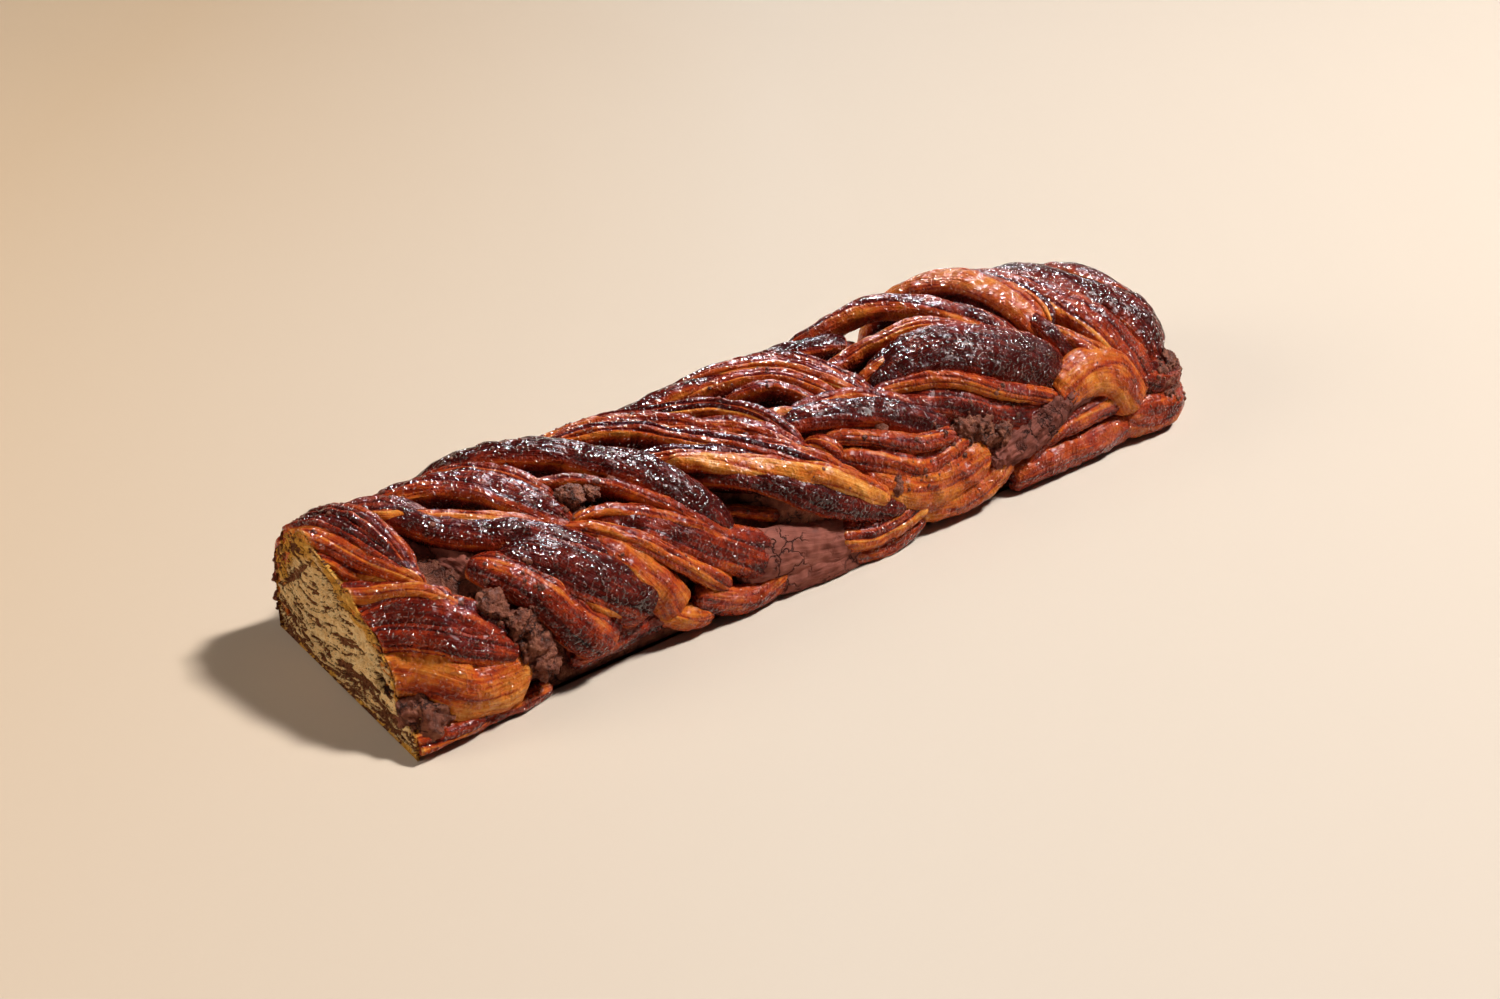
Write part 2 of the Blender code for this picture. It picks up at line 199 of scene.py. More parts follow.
class Finish:
    """A material that is put together in code."""

    def __init__(self, name, **constants):
        self.material = bpy.data.materials.new(name)
        self.material.use_nodes = True
        self.tree = self.material.node_tree
        self.shader = self.tree.nodes["Principled BSDF"]
        for key, value in constants.items():
            self.shader.inputs[key.replace("_", " ")].default_value = value

    def node(self, kind, settings=None, inputs=None, out=0):
        """Adds a node: settings are set first, then each input gets a value or a link."""
        made = self.tree.nodes.new(kind)
        for key, value in (settings or {}).items():
            if key == "stops":
                while len(made.color_ramp.elements) < len(value):
                    made.color_ramp.elements.new(1.0)
                for element, (place, colour) in zip(made.color_ramp.elements, value):
                    element.position = place
                    element.color = (*colour, 1.0)
            else:
                setattr(made, key, value)
        for key, value in (inputs or {}).items():
            if isinstance(value, Wire):
                self.tree.links.new(value.socket, made.inputs[key])
            else:
                made.inputs[key].default_value = value
        return Wire(self, made.outputs[out])

    def set(self, key, wire):
        """Feeds one of the shader's sockets."""
        self.tree.links.new(wire.socket, self.shader.inputs[key])

    def attribute(self, name):
        """A number kept on the mesh's points."""
        return self.node("ShaderNodeAttribute", {"attribute_name": name}, out="Fac")

    def place(self):
        """The place on the piece, in metres."""
        return self.node("ShaderNodeTexCoord", out="Object")

    def noise(self, vector, size, detail=3.0, roughness=0.5):
        """Cloudy noise whose lumps are about that size, in the vector's units."""
        return self.node(
            "ShaderNodeTexNoise",
            None,
            {"Vector": vector, "Scale": 1 / size, "Detail": detail, "Roughness": roughness},
            out="Fac",
        )

    def spread(self, value, low, high, to_low=0.0, to_high=1.0):
        """The value with low to high spread over another range, and held at its ends."""
        return self.node(
            "ShaderNodeMapRange",
            {"clamp": True},
            {"Value": value, "From Min": low, "From Max": high, "To Min": to_low, "To Max": to_high},
        )

    def ramp(self, value, stops):
        """A colour for a value, from stops of (place, colour)."""
        return self.node("ShaderNodeValToRGB", {"stops": stops}, {"Fac": value}, out="Color")

    def blend(self, factor, first, second):
        """A mix of two colours."""
        return self.node(
            "ShaderNodeMix", {"data_type": "RGBA"}, {0: factor, 6: first, 7: second}, out=2
        )

    def crazing(self, place, size, gap):
        """Cracks in a dry skin, 0 in a crack and 1 beside it: bent, and open only here and there."""
        bend = self.node(
            "ShaderNodeTexNoise",
            None,
            {"Vector": place, "Scale": CRACK_BENDS / size, "Detail": 3.0},
            out="Color",
        )
        bent = self.node(
            "ShaderNodeVectorMath",
            {"operation": "MULTIPLY_ADD"},
            {0: bend, 1: (size * CRACK_BEND_REACH,) * 3, 2: place},
            out="Vector",
        )
        edge = self.node(
            "ShaderNodeTexVoronoi",
            {"feature": "DISTANCE_TO_EDGE"},
            {"Vector": bent, "Scale": 1 / size, "Randomness": 1.0},
            out="Distance",
        )
        here = self.spread(self.noise(place, size * CRACK_PATCH, 2.0), 0.42, 0.58)
        return 1 - (1 - self.spread(edge, 0.0, gap)) * here

    def add_wet_layer(self, share, normal, **constants):
        """Mixes in a second shader of the same colour, with its own normal, where share is 1."""
        wet = self.tree.nodes.new("ShaderNodeBsdfPrincipled")
        for key, value in constants.items():
            wet.inputs[key.replace("_", " ")].default_value = value
        colour = self.shader.inputs["Base Color"].links[0].from_socket
        self.tree.links.new(colour, wet.inputs["Base Color"])
        self.tree.links.new(normal.socket, wet.inputs["Normal"])
        mix = self.tree.nodes.new("ShaderNodeMixShader")
        self.tree.links.new(share.socket, mix.inputs[0])
        self.tree.links.new(self.shader.outputs[0], mix.inputs[1])
        self.tree.links.new(wet.outputs[0], mix.inputs[2])
        self.tree.links.new(mix.outputs[0], self.tree.nodes["Material Output"].inputs["Surface"])

    def bump(self, height, distance, strength=1.0, normal=None):
        """A normal from a height of 0 to 1 that stands for a distance."""
        inputs = {"Height": height, "Distance": distance, "Strength": strength}
        if normal is not None:
            inputs["Normal"] = normal
        return self.node("ShaderNodeBump", None, inputs, out="Normal")


print("a Finish makes a material")

# %% [markdown]
# ## The floor's finish
#
# The floor is a matte cream sheet under the loaf, with painted shade that makes it a little
# deeper in colour to the left, where the light falls off.

# %% Floor finish
FLOOR_LIGHT = (0.605, 0.532, 0.465)
# Painted shade: the floor's colour to the left, where the light falls off.
FLOOR_PAINTED_SHADE = (0.565, 0.430, 0.305)
FLOOR_FADE = 0.4
FLOOR_CLOUDS = 0.5
CLOUD_WEIGHT = 0.1
# The camera's left, along the floor.
TO_LEFT = (-0.775, 0.63, 0.0)

paper = Finish("pale_paper", Roughness=0.9, Specular_IOR_Level=0.0)
floor_place = paper.place()
to_left = paper.node(
    "ShaderNodeVectorMath", {"operation": "DOT_PRODUCT"}, {0: floor_place, 1: TO_LEFT}, out="Value"
)
cloudy = (paper.noise(floor_place, FLOOR_CLOUDS, 1.0) - 0.5) * CLOUD_WEIGHT
floor_shade_share = paper.spread(to_left + cloudy, 0.0, FLOOR_FADE)
paper.set("Base Color", paper.ramp(floor_shade_share, ((0.0, FLOOR_LIGHT), (1.0, FLOOR_PAINTED_SHADE))))
floor.data.materials.append(paper.material)
print("floor finished")

# %% [markdown]
# ## The loaf's outline
#
# Places on the loaf are easiest to give as a distance along it, in millimetres from the cut,
# and an angle round it: 0 at the foot of the front, 90 on top and 180 at the foot of the back.
# The functions below turn such places into points, many at a time, with numpy. The tin gives
# the loaf its square sides and its height changes from station to station along it.

# %% The outline
MM = 0.001
LENGTH = 368.0
WIDTH = 100.0
END_ROUNDING = 16.0
END_FACE = 34.0
STATION_STEP = 35.5
CREST_HEIGHTS = np.array((55, 57, 58, 56, 54, 58, 57, 66, 67, 61, 52), float)
SQUARENESS = 2.6
END_POLE = 0.02
# Next to the cut the front shoulder drops: by how much, how far along, and at which angles.
SHOULDER_DROP = 0.22
SHOULDER_REACH = 20.0
SHOULDER_FOOT = 22
SHOULDER_TOP = 112
SHOULDER_FADE = 45
WALL_GIVE = 0.12
BASE_HEIGHT = 0.25


def ease(share):
    """A smooth step from 0 to 1."""
    share = np.clip(share, 0.0, 1.0)
    return share * share * (3 - 2 * share)


def crest_height(x):
    """How tall the loaf is at a distance from the cut."""
    place = np.clip(x / STATION_STEP, 0.0, len(CREST_HEIGHTS) - 1.001)
    station = place.astype(int)
    blend = ease(place - station)
    return CREST_HEIGHTS[station] * (1 - blend) + CREST_HEIGHTS[station + 1] * blend


def outline(u, angle):
    """Points of the smooth outline, in millimetres from the cut."""
    u, angle = np.asarray(u, float), np.asarray(angle, float)
    start = LENGTH - END_ROUNDING
    turn = np.clip((u - start) / END_ROUNDING, 0.0, pi / 2)
    inwards = np.maximum(u - start - END_ROUNDING * pi / 2, 0.0) / END_FACE
    share = 1 - END_ROUNDING * (1 - np.cos(turn)) / (WIDTH / 2)
    share *= np.maximum(1 - inwards, END_POLE)
    front = ease(angle / SHOULDER_FOOT) * ease((SHOULDER_TOP - angle) / SHOULDER_FADE)
    share *= 1 - SHOULDER_DROP * front * ease(1 - u / SHOULDER_REACH)
    x = np.minimum(u, start) + END_ROUNDING * np.sin(turn)
    across, up = np.cos(np.radians(angle)), np.sin(np.radians(angle))
    side = np.sign(across) * np.abs(across) ** (2 / SQUARENESS)
    rise = np.sign(up) * np.abs(up) ** (2 / SQUARENESS)
    return np.stack((x, -WIDTH / 2 * side * share, crest_height(x) * rise * share), -1)


print("the loaf is", crest_height(np.array([0.0]))[0], "mm tall at the cut")

# %% [markdown]
# A fold also has to know which way is out of the loaf. The cross product of two short steps on
# the outline gives it. Then the tin's work is copied: points past its walls are pushed back.

# %% Directions and the tin


def unit(vectors):
    """The vectors at length 1."""
    return vectors / np.maximum(np.linalg.norm(vectors, axis=-1, keepdims=True), 1e-9)


def outward(u, angle):
    """Directions straight out of the outline."""
    step = 0.5
    along = outline(u + step, angle) - outline(u - step, angle)
    around = outline(u, angle + step) - outline(u, angle - step)
    return unit(np.cross(along, around))


def pressed(points):
    """The points after the tin has pressed them: flat sides, flat base."""
    x, y, z = points.T
    past = np.maximum(np.abs(y) - WIDTH / 2, 0.0)
    y = y - np.sign(y) * past * (1 - WALL_GIVE)
    x = x - np.maximum(x - LENGTH, 0.0) * (1 - WALL_GIVE)
    return np.stack((x, y, np.maximum(z, BASE_HEIGHT)), -1)


def to_frame(points):
    """Millimetres from the cut to metres in the loaf's frame."""
    return (points - np.array((LENGTH / 2, 0.0, 0.0))) * MM


def place_on_loaf(u, angle):
    """One point of the outline in the loaf's frame, and the way out there."""
    u, angle = np.array([float(u)]), np.array([float(angle)])
    return to_frame(outline(u, angle))[0], outward(u, angle)[0]


print("on top, the way out is", place_on_loaf(100, 90)[1].round(2))

# %% [markdown]
# ## One fold
#
# A fold is a strip of dough that swells up out of the loaf and tapers into it at both ends. Its
# middle runs along a smooth curve through a few places, and seeded waves make it uneven.

# %% Routes and waves
WAVE_PARTS = (0.45, 0.3, 0.25)
WAVE_RATES = (0.5, 1.6)
# Waves on a fold: their strength, and how fast they change along it and around it.
WAVES = {
    "layers": (0.30, 0.6, 3.0),
    "swell": (0.50, 1.1, 2.5),
    "ripple": (0.35, 3.1, 4.0),
    "bake": (0.12, 1.5, 2.0),
    "matte": (0.15, 3.0, 3.0),
}


def along_route(route, share):
    """Places (u, angle) on the smooth curve through a route."""
    points = np.array(route, float)
    spans = len(points) - 1
    place = share * spans
    first = np.clip(place.astype(int), 0, spans - 1)
    t = (place - first)[:, None]
    a = points[np.maximum(first - 1, 0)]
    b, c = points[first], points[first + 1]
    d = points[np.minimum(first + 2, spans)]
    found = 0.5 * (
        2 * b + (c - a) * t + (2 * a - 5 * b + 4 * c - d) * t**2 + (3 * b - a - 3 * c + d) * t**3
    )
    return found[:, 0], found[:, 1]


def wobble(rng, *coordinates):
    """Smooth random waves over the coordinates, between about -1 and 1."""
    total = 0.0
    for strength in WAVE_PARTS:
        phase = rng.uniform(0, 2 * pi)
        wave = phase
        for place in coordinates:
            wave = wave + place * rng.uniform(*WAVE_RATES) * rng.choice((-1, 1)) / strength
        total = total + strength * np.sin(wave)
    return total


def waves(kind, rng, reach, around):
    """One of the kinds of waves on a fold."""
    strength, along, across = WAVES[kind]
    return strength * wobble(rng, reach * along, around * across)


print("kinds of waves:", ", ".join(WAVES))

# %% [markdown]
# Blender keeps a mesh's points one by one, and numpy works on all of them at once. These
# functions carry points and numbers between the two.

# %% Points as arrays


def read_points(piece):
    """The points of a piece as an array."""
    values = np.empty(len(piece.data.vertices) * 3, np.float32)
    piece.data.vertices.foreach_get("co", values)
    return values.reshape(-1, 3).astype(float)


def write_points(piece, points):
    """Moves the points of a piece."""
    piece.data.vertices.foreach_set("co", points.astype(np.float32).ravel())
    piece.data.update()


def write_number(piece, name, values):
    """Keeps one number for each point of a piece."""
    kept = piece.data.attributes.new(name, "FLOAT", "POINT")
    kept.data.foreach_set("value", values.astype(np.float32))


print("points can be read and written")

# %% [markdown]
# The folds differ in how they are baked, because some crowns took the heat and others lay in
# the shade of their neighbours. So each kind of fold has a row of its own.

# %% The looks of folds
# Bake on the crown, bake at the rims, layers, depth of the layers in millimetres, difference
# between layers, how matte, how crumbly.
LOOKS = {
    "striped": (0.28, 0.56, 5, 1.20, 0.58, 0.0, 0.03),
    "amber": (0.46, 0.58, 4, 0.65, 0.36, 0.0, 0.03),
    "line": (0.58, 0.62, 2, 0.35, 0.20, 0.0, 0.03),
    "dark": (0.10, 0.54, 3, 0.35, 0.22, 0.0, 0.04),
    "russet": (0.32, 0.54, 3, 0.45, 0.28, 0.0, 0.03),
    "side": (0.62, 0.50, 2, 0.25, 0.15, 0.0, 0.03),
    "golden": (0.70, 0.56, 3, 0.30, 0.18, 0.0, 0.02),
    "base": (0.44, 0.34, 2, 0.30, 0.20, 0.1, 0.06),
    "dull": (0.26, 0.34, 3, 0.45, 0.20, 0.40, 0.26),
    "chocolate": (0.14, 0.14, 1, 0.20, 0.10, 1.0, 0.90),
    "slab": (0.45, 0.40, 2, 0.20, 0.10, 1.0, 0.22),
}
print("a fold's looks are", ", ".join(LOOKS))

# %% [markdown]
# Every point of a fold has a share of the way along it and a turn round it: 0 to half a turn is
# the side that shows, and the rest goes down into the loaf. Ends that meet the foot of the loaf
# stay broad, and the others dive under their neighbours.

# %% The plain fold
# Depths and heights are in millimetres. A low end is one at the foot of the loaf.
CORE_DEPTH = 11.0
ROOT = 2.0
LEAST_DEPTH = 1.5
TUCK = 8.0
END_TAPER = 5.0
LOW_END = 32.0
LOW_TUCK = 2.5
LOW_TAPER = 11.0
TUCK_CURVE = 2.5
FLARE = 0.35
OVERRUN = 0.05
RISE_BASE = 3.0
RISE_SHARE = 0.35
UNDERSIDE_WIDTH = 0.9
SHALLOW_START = 12.0
SHALLOW_ROOT = 0.12
# Painted shade: how deep below the skin a point lies before groove shade starts, and how fast it
# comes in.
GROOVE_SHADE_START = 0.3
GROOVE_SHADE_REACH = 3.0
ROUTE_STEP = 0.02


def fold_section(route, share, turn, width, crest, free):
    """The plain fold's points, the way out of its skin, its taper, and how deep each point lies in a
    groove, which sets its painted shade.
    """
    end = np.abs(2 * share - 1)
    first_low, last_low = route[0][1] < LOW_END, route[-1][1] < LOW_END
    low = np.where(share < 0.5, first_low, last_low)
    narrow = np.sqrt(np.maximum(1 - end ** np.where(low, LOW_TAPER, END_TAPER), 0.0))
    lift = crest - np.where(low, LOW_TUCK, TUCK) * end**TUCK_CURVE
    if last_low and not first_low:
        width = width * (1 + FLARE * (share - 0.5))
    share = share + (2 * share - 1) * OVERRUN
    u, angle = along_route(route, share)
    out = outward(u, angle)

    def lifted(place):
        v, turned = along_route(route, place)
        return outline(v, turned) + outward(v, turned) * lift[:, None]

    ahead = lifted(share + ROUTE_STEP) - lifted(share - ROUTE_STEP)
    across = unit(np.cross(unit(ahead), out))
    half_width = width / 2 * narrow
    rise = np.minimum(half_width, RISE_BASE + RISE_SHARE * half_width)
    depth = rise if free else np.maximum(lift + CORE_DEPTH + ROOT - rise, LEAST_DEPTH) * narrow
    depth = depth * (SHALLOW_ROOT + (1 - SHALLOW_ROOT) * ease(u / SHALLOW_START))
    upper = turn <= pi
    side = half_width * np.where(upper, 1.0, UNDERSIDE_WIDTH) * np.cos(turn)
    up = np.where(upper, rise, depth) * np.sin(turn)
    middle = outline(u, angle) + out * (lift - rise)[:, None]
    points = middle + across * side[:, None] + out * up[:, None]
    skin = unit(
        across * (np.cos(turn) * rise)[:, None] + out * (np.sin(turn) * half_width)[:, None] + 1e-9
    )
    return points, skin, narrow, ease((-up - GROOVE_SHADE_START) / GROOVE_SHADE_REACH)


print("folds run down", CORE_DEPTH + ROOT, "mm under the outline")

# %% [markdown]
# The skin of a fold is scalloped into layers, because the slit roll shows the edges of its
# layers there. The same layers set its bake: each has its own tone, some have a pale lip, and
# the creases between them are dark. Where the fold sinks into a groove, painted shade darkens it.

# %% Layers on a fold
LAYER_ROUNDNESS = 2.4
# Weights of a layer's roundness and own height, and what brings their middle back to the skin.
ROUND_WEIGHT, HEIGHT_WEIGHT, HEIGHT_DROP = 0.8, 1.1, 0.9
EDGE_FADE = 1.6
FULL_RELIEF_WIDTH = 10
# How fast each part of the bake comes in from the rims to the crown.
CROWN_RATE, SHADE_RATE, LIP_RATE = 1.25, 2, 3
LIP_START, LIP_REACH = 0.6, 0.22
CREASE_DARK = 0.30
CUT_PALE = 0.3
FOLD_SETBACK = 1.3


def find_layers(rng, reach, around, layers):
    """The number of the layer that each point is in, and how far across that layer it lies."""
    wander = waves("layers", rng, reach, around) * np.sin(pi * around)
    place = np.clip(around * layers + wander, 0, layers)
    number = np.minimum(place.astype(int), layers - 1)
    return number, place - number


def bake_tone(rng, look, reach, around, crown, number, inside, rounded, shades):
    """How light each point is baked, before its place on the loaf is looked at."""
    bake, rim, layers, _, contrast, _, _ = look
    tone = rim + (bake - rim) * ease(crown * CROWN_RATE)
    tone += contrast * shades * ease(crown * SHADE_RATE)
    lips = rng.uniform(0.0, 1.0, layers)[number]
    tone += ease((inside - LIP_START) / LIP_REACH) * lips * contrast * ease(crown * LIP_RATE)
    tone -= CREASE_DARK * (1 - rounded) ** 2 * ease(crown * SHADE_RATE)
    return tone + waves("bake", rng, reach, around)


print("layers shape the skin and its bake")

# %% [markdown]
# A sphere has just the topology of a fold: its poles become the fold's ends and its meridians
# run along the fold. Three numbers are kept on every point for the finish: how light the bake
# is, how matte the skin is and how crumbly.

# %% One fold
ALONG_GRAIN = 0.9
ACROSS_GRAIN = 0.42
UPPER_PART = 0.84
FEWEST_SEGMENTS, MOST_SEGMENTS = 18, 84
FEWEST_RINGS, MOST_RINGS = 20, 140
GIRTH_PER_WIDTH, GIRTH_BASE = 1.5, 4
PATH_STEPS = 30
# The rings lie evenly along the fold in part, and closer together at its ends in part.
EVEN_PART, CLOSE_PART = 0.7, 0.3
WAVE_LENGTH = 20
UV_SHIFT = (37.0, 11.0)


def add_ball(name, width, length):
    """The sphere that a fold is made from: the share and turn of its points, and its girth."""
    girth = GIRTH_PER_WIDTH * width + GIRTH_BASE
    across = int(np.clip(girth / ACROSS_GRAIN / UPPER_PART, FEWEST_SEGMENTS, MOST_SEGMENTS))
    rings = int(np.clip(length / ALONG_GRAIN, FEWEST_RINGS, MOST_RINGS))
    bpy.ops.mesh.primitive_uv_sphere_add(segments=across, ring_count=rings, radius=1)
    fold = bpy.context.object
    fold.name = name
    ball = read_points(fold)
    polar = np.arccos(np.clip(ball[:, 2], -1, 1)) / pi
    azimuth = (np.arctan2(ball[:, 1], ball[:, 0]) / (2 * pi) + 1e-5) % 1.0
    share = EVEN_PART * polar + CLOSE_PART * (0.5 - 0.5 * np.cos(pi * polar))
    turn = np.where(
        azimuth < UPPER_PART,
        pi * azimuth / UPPER_PART,
        pi * (1 + (azimuth - UPPER_PART) / (1 - UPPER_PART)),
    )
    return fold, share, turn, girth


def stretch_uv(fold, length, girth, seed):
    """Makes the sphere's UV map run in millimetres along the fold and around it."""
    layer = fold.data.uv_layers.active
    flat = np.empty(len(fold.data.loops) * 2, np.float32)
    layer.data.foreach_get("uv", flat)
    flat = flat.reshape(-1, 2)
    along = flat[:, 1] * length + seed * UV_SHIFT[0]
    around = flat[:, 0] * girth + seed * UV_SHIFT[1]
    layer.data.foreach_set("uv", np.stack((along, around), -1).astype(np.float32).ravel())


def add_fold(name, route, width, crest, look, seed, free=False):
    """Adds one fold of dough, as a closed mesh with its own UV map, in the loaf's frame."""
    _, _, layers, depth, _, matte, crumbly = LOOKS[look]
    rng = np.random.default_rng(seed)
    path = outline(*along_route(route, np.linspace(0, 1, PATH_STEPS)))
    length = np.linalg.norm(np.diff(path, axis=0), axis=1).sum()
    fold, share, turn, girth = add_ball(name, width, length)
    points, skin, narrow, groove_shade = fold_section(route, share, turn, width, crest, free)
    reach = share * length / WAVE_LENGTH
    around = np.clip(turn / pi, 0, 1)
    crown = np.where(turn <= pi, np.sin(turn), 0.0)
    number, inside = find_layers(rng, reach, around, layers)
    rounded = 1 - np.abs(2 * inside - 1) ** LAYER_ROUNDNESS
    heights = rng.uniform(0.0, 1.0, layers)[number]
    shades = rng.uniform(-0.5, 0.5, layers)[number]
    relief = depth * (ROUND_WEIGHT * rounded + HEIGHT_WEIGHT * heights - HEIGHT_DROP)
    relief += waves("swell", rng, reach, around) + waves("ripple", rng, reach, around)
    relief *= np.minimum(crown * EDGE_FADE, 1.0) * narrow * min(1.0, width / FULL_RELIEF_WIDTH)
    points += skin * relief[:, None]
    write_points(fold, to_frame(pressed(points)))

    tone = bake_tone(rng, LOOKS[look], reach, around, crown, number, inside, rounded, shades)
    tone += CUT_PALE * ease(1 - (points[:, 0] - FOLD_SETBACK) / FOLD_SETBACK)
    # Painted shade: points deep in a groove are darkened, as little light reaches them.
    if not free:
        tone -= groove_shade
    rough = float(matte) + waves("matte", rng, reach, around)
    write_number(fold, "bake", np.clip(tone, 0, 1))
    write_number(fold, "matte", np.clip(rough, 0, 1))
    write_number(fold, "crumbly", np.full(len(tone), float(crumbly)))
    stretch_uv(fold, length, girth, seed)
    return fold


print("a fold has up to", MOST_SEGMENTS, "by", MOST_RINGS, "faces")

# %% [markdown]
# ## The passes
#
# The folds are grouped by the passes of the two twisted halves over the loaf. Each row is a
# route of (distance, angle), a width, the crest's height over the outline, and a look.

# %% The rows of the passes
PASSES = {
    "fold_near_top": (
        (((-4, 165), (10, 128), (18, 100), (19, 77)), 9, 2, "striped"),
        (((-14, 150), (4, 124), (12, 98), (17, 74)), 8, 1, "striped"),
        (((-18, 130), (0, 112), (9, 90), (16, 68)), 8, -0.5, "amber"),
        (((-17, 112), (0, 98), (6, 86), (13, 74)), 7, -4, "amber"),
    ),
    "fold_near_front": (
        (((-17, 92), (1, 84), (12, 68), (20, 56)), 6, -3, "russet"),
        (((-17, 90), (0, 81), (17, 59), (31, 38)), 5.5, -0.5, "line"),
        (((-17, 78), (2, 66), (17, 48), (36, 26)), 17, -1, "dark"),
        (((-17, 64), (1, 53), (18, 34), (39, 19)), 11, 0, "russet"),
        (((-17, 40), (2, 30), (20, 13), (42, 9)), 20, 0, "side"),
        (((-17, 5), (1, 4), (14, 3), (27, 2)), 8, -1, "amber"),
        (((14, 3), (30, 2), (52, 1)), 7, -3, "base"),
    ),
    "fold_second": (
        (((17, 120), (32, 92), (44, 55), (54, 22)), 13, -8, "chocolate"),
        (((3, 135), (26, 98), (47, 85), (70, 68)), 6, -1, "line"),
        (((13, 128), (38, 84), (61, 64), (90, 32)), 12, 0, "dark"),
        (((47, 64), (59, 51), (73, 34), (91, 17)), 19, 2, "dark"),
        (((45, 66), (59, 41), (72, 24), (86, 15)), 4.5, 0.5, "line"),
        (((38, 66), (52, 42), (63, 22), (74, 9)), 17, 1, "russet"),
        (((62, 6), (80, 7), (94, 9), (106, 8)), 12, -4, "dull"),
    ),
    "fold_third": (
        (((0, 150), (18, 122), (31, 105), (38, 92)), 10, 0, "dull"),
        (((18, 150), (40, 122), (61, 96), (78, 66)), 15, 0, "russet"),
        (((38, 150), (56, 118), (70, 95), (80, 84)), 7, 0, "russet"),
        (((74, 66), (90, 48), (108, 28), (124, 12)), 8, 0, "amber"),
        (((78, 55), (90, 34), (98, 20), (103, 10)), 14, 0, "side"),
        (((83, 66), (98, 52), (118, 33), (146, 13)), 16, 0, "russet"),
        (((76, 66), (90, 62), (112, 45), (130, 28)), 5, 0, "line"),
        (((70, 92), (90, 80), (108, 58), (128, 31)), 5, 0.5, "russet"),
        (((46, 150), (74, 108), (106, 80), (129, 35)), 15, 4, "dark"),
        (((98, 10), (108, 5), (118, 3)), 10, -2, "side"),
        (((112, 10), (126, 5), (138, 3), (152, 6)), 12, -1, "base"),
    ),
    "fold_fourth": (
        (((93, 150), (116, 128), (133, 116), (153, 102)), 10, -2, "chocolate"),
        (((108, 140), (136, 106), (162, 86), (171, 53)), 8, 1.5, "striped"),
        (((98, 130), (132, 98), (156, 78), (173, 47)), 8, 2, "amber"),
        (((93, 120), (128, 92), (152, 68), (184, 31)), 9, 2, "striped"),
        (((112, 88), (132, 77), (151, 62), (180, 33)), 8, 1.5, "striped"),
        (((122, 80), (138, 66), (164, 44), (195, 20)), 10, 3, "golden"),
        (((128, 72), (146, 56), (170, 29), (203, 13)), 12, 1.5, "dark"),
        (((133, 50), (144, 38), (155, 28), (168, 18)), 5.5, -8, "side"),
        (((134, 18), (149, 14), (166, 9), (184, 6)), 20, -1, "slab"),
        (((148, 4), (166, 3), (186, 2)), 14, -1, "slab"),
    ),
    "fold_fifth": (
        (((133, 150), (158, 124), (192, 110), (214, 74)), 9, 1.5, "striped"),
        (((138, 135), (170, 112), (192, 98), (210, 76)), 8, 2, "striped"),
        (((148, 120), (168, 105), (190, 93), (202, 78)), 6, 0, "amber"),
        (((164, 100), (174, 94), (186, 90), (195, 80)), 5, -2, "russet"),
        (((164, 84), (174, 78), (184, 74)), 5, -2, "line"),
        (((176, 80), (196, 77), (213, 68), (230, 44)), 6, -1, "russet"),
        (((170, 75), (190, 66), (210, 57), (233, 33)), 12, 2, "dark"),
        (((182, 56), (198, 47), (216, 37), (232, 31)), 7, 2, "amber"),
        (((182, 48), (198, 37), (218, 25), (238, 24)), 12, 0.5, "russet"),
        (((188, 34), (206, 20), (226, 14), (248, 14)), 20, 1, "side"),
        (((175, 62), (181, 51), (186, 43)), 8, -2, "amber"),
        (((176, 10), (190, 7), (204, 8), (216, 11)), 13, 0.5, "amber"),
        (((182, 2), (198, 1), (216, 4)), 8, -0.5, "base"),
        (((216, 8), (233, 5), (248, 6), (262, 10)), 14, 0, "side"),
    ),
    "fold_sixth": (
        (((206, 92), (228, 90), (253, 82), (278, 58)), 6, 1, "amber"),
        (((214, 84), (226, 81), (242, 80)), 5, 0, "line"),
        (((218, 80), (240, 72), (266, 56), (294, 33)), 24, 3, "dark"),
        (((212, 74), (230, 61), (256, 41), (286, 26)), 7, 1, "amber"),
        (((212, 68), (232, 48), (256, 29), (282, 22)), 14, -1, "russet"),
        (((252, 12), (276, 17), (296, 26), (314, 31)), 15, 1, "chocolate"),
        (((288, 26), (304, 33), (320, 30), (332, 14)), 20, 2, "side"),
        (((276, 10), (294, 14), (314, 16), (334, 16)), 12, -1, "russet"),
        (((270, 4), (278, 10), (286, 16)), 8, -2, "base"),
        (((266, 3), (286, 4), (308, 4), (332, 5)), 14, 0, "base"),
    ),
    "fold_far_end": (
        (((196, 132), (210, 124), (222, 117), (234, 112)), 10, -6, "dull"),
        (((222, 170), (246, 154), (264, 132), (280, 108)), 11, -16, "dull"),
        (((264, 158), (277, 121), (292, 92), (298, 62)), 21, 2, "side"),
        (((288, 80), (294, 68), (298, 56), (307, 38)), 8, -1, "dark"),
        (((286, 110), (300, 90), (302, 74), (302, 62)), 7, 1, "striped"),
        (((278, 150), (306, 104), (319, 70), (339, 22)), 20, 1, "amber"),
        (((300, 64), (310, 48), (325, 34), (338, 18)), 7, 0, "line"),
        (((310, 160), (334, 106), (352, 72), (359, 34)), 25, 0.5, "dark"),
        (((336, 168), (355, 122), (367, 84), (369, 46)), 18, 1, "dark"),
        (((340, 176), (376, 142), (385, 92), (376, 44)), 18, 1, "russet"),
        (((352, 178), (388, 150), (396, 74), (378, 20)), 20, 1, "russet"),
        (((338, 26), (351, 22), (366, 22), (380, 26)), 14, 0, "dull"),
        (((328, 8), (345, 7), (366, 8), (386, 10)), 19, 1, "base"),
    ),
}
print(sum(len(rows) for rows in PASSES.values()), "rows in", len(PASSES), "passes")

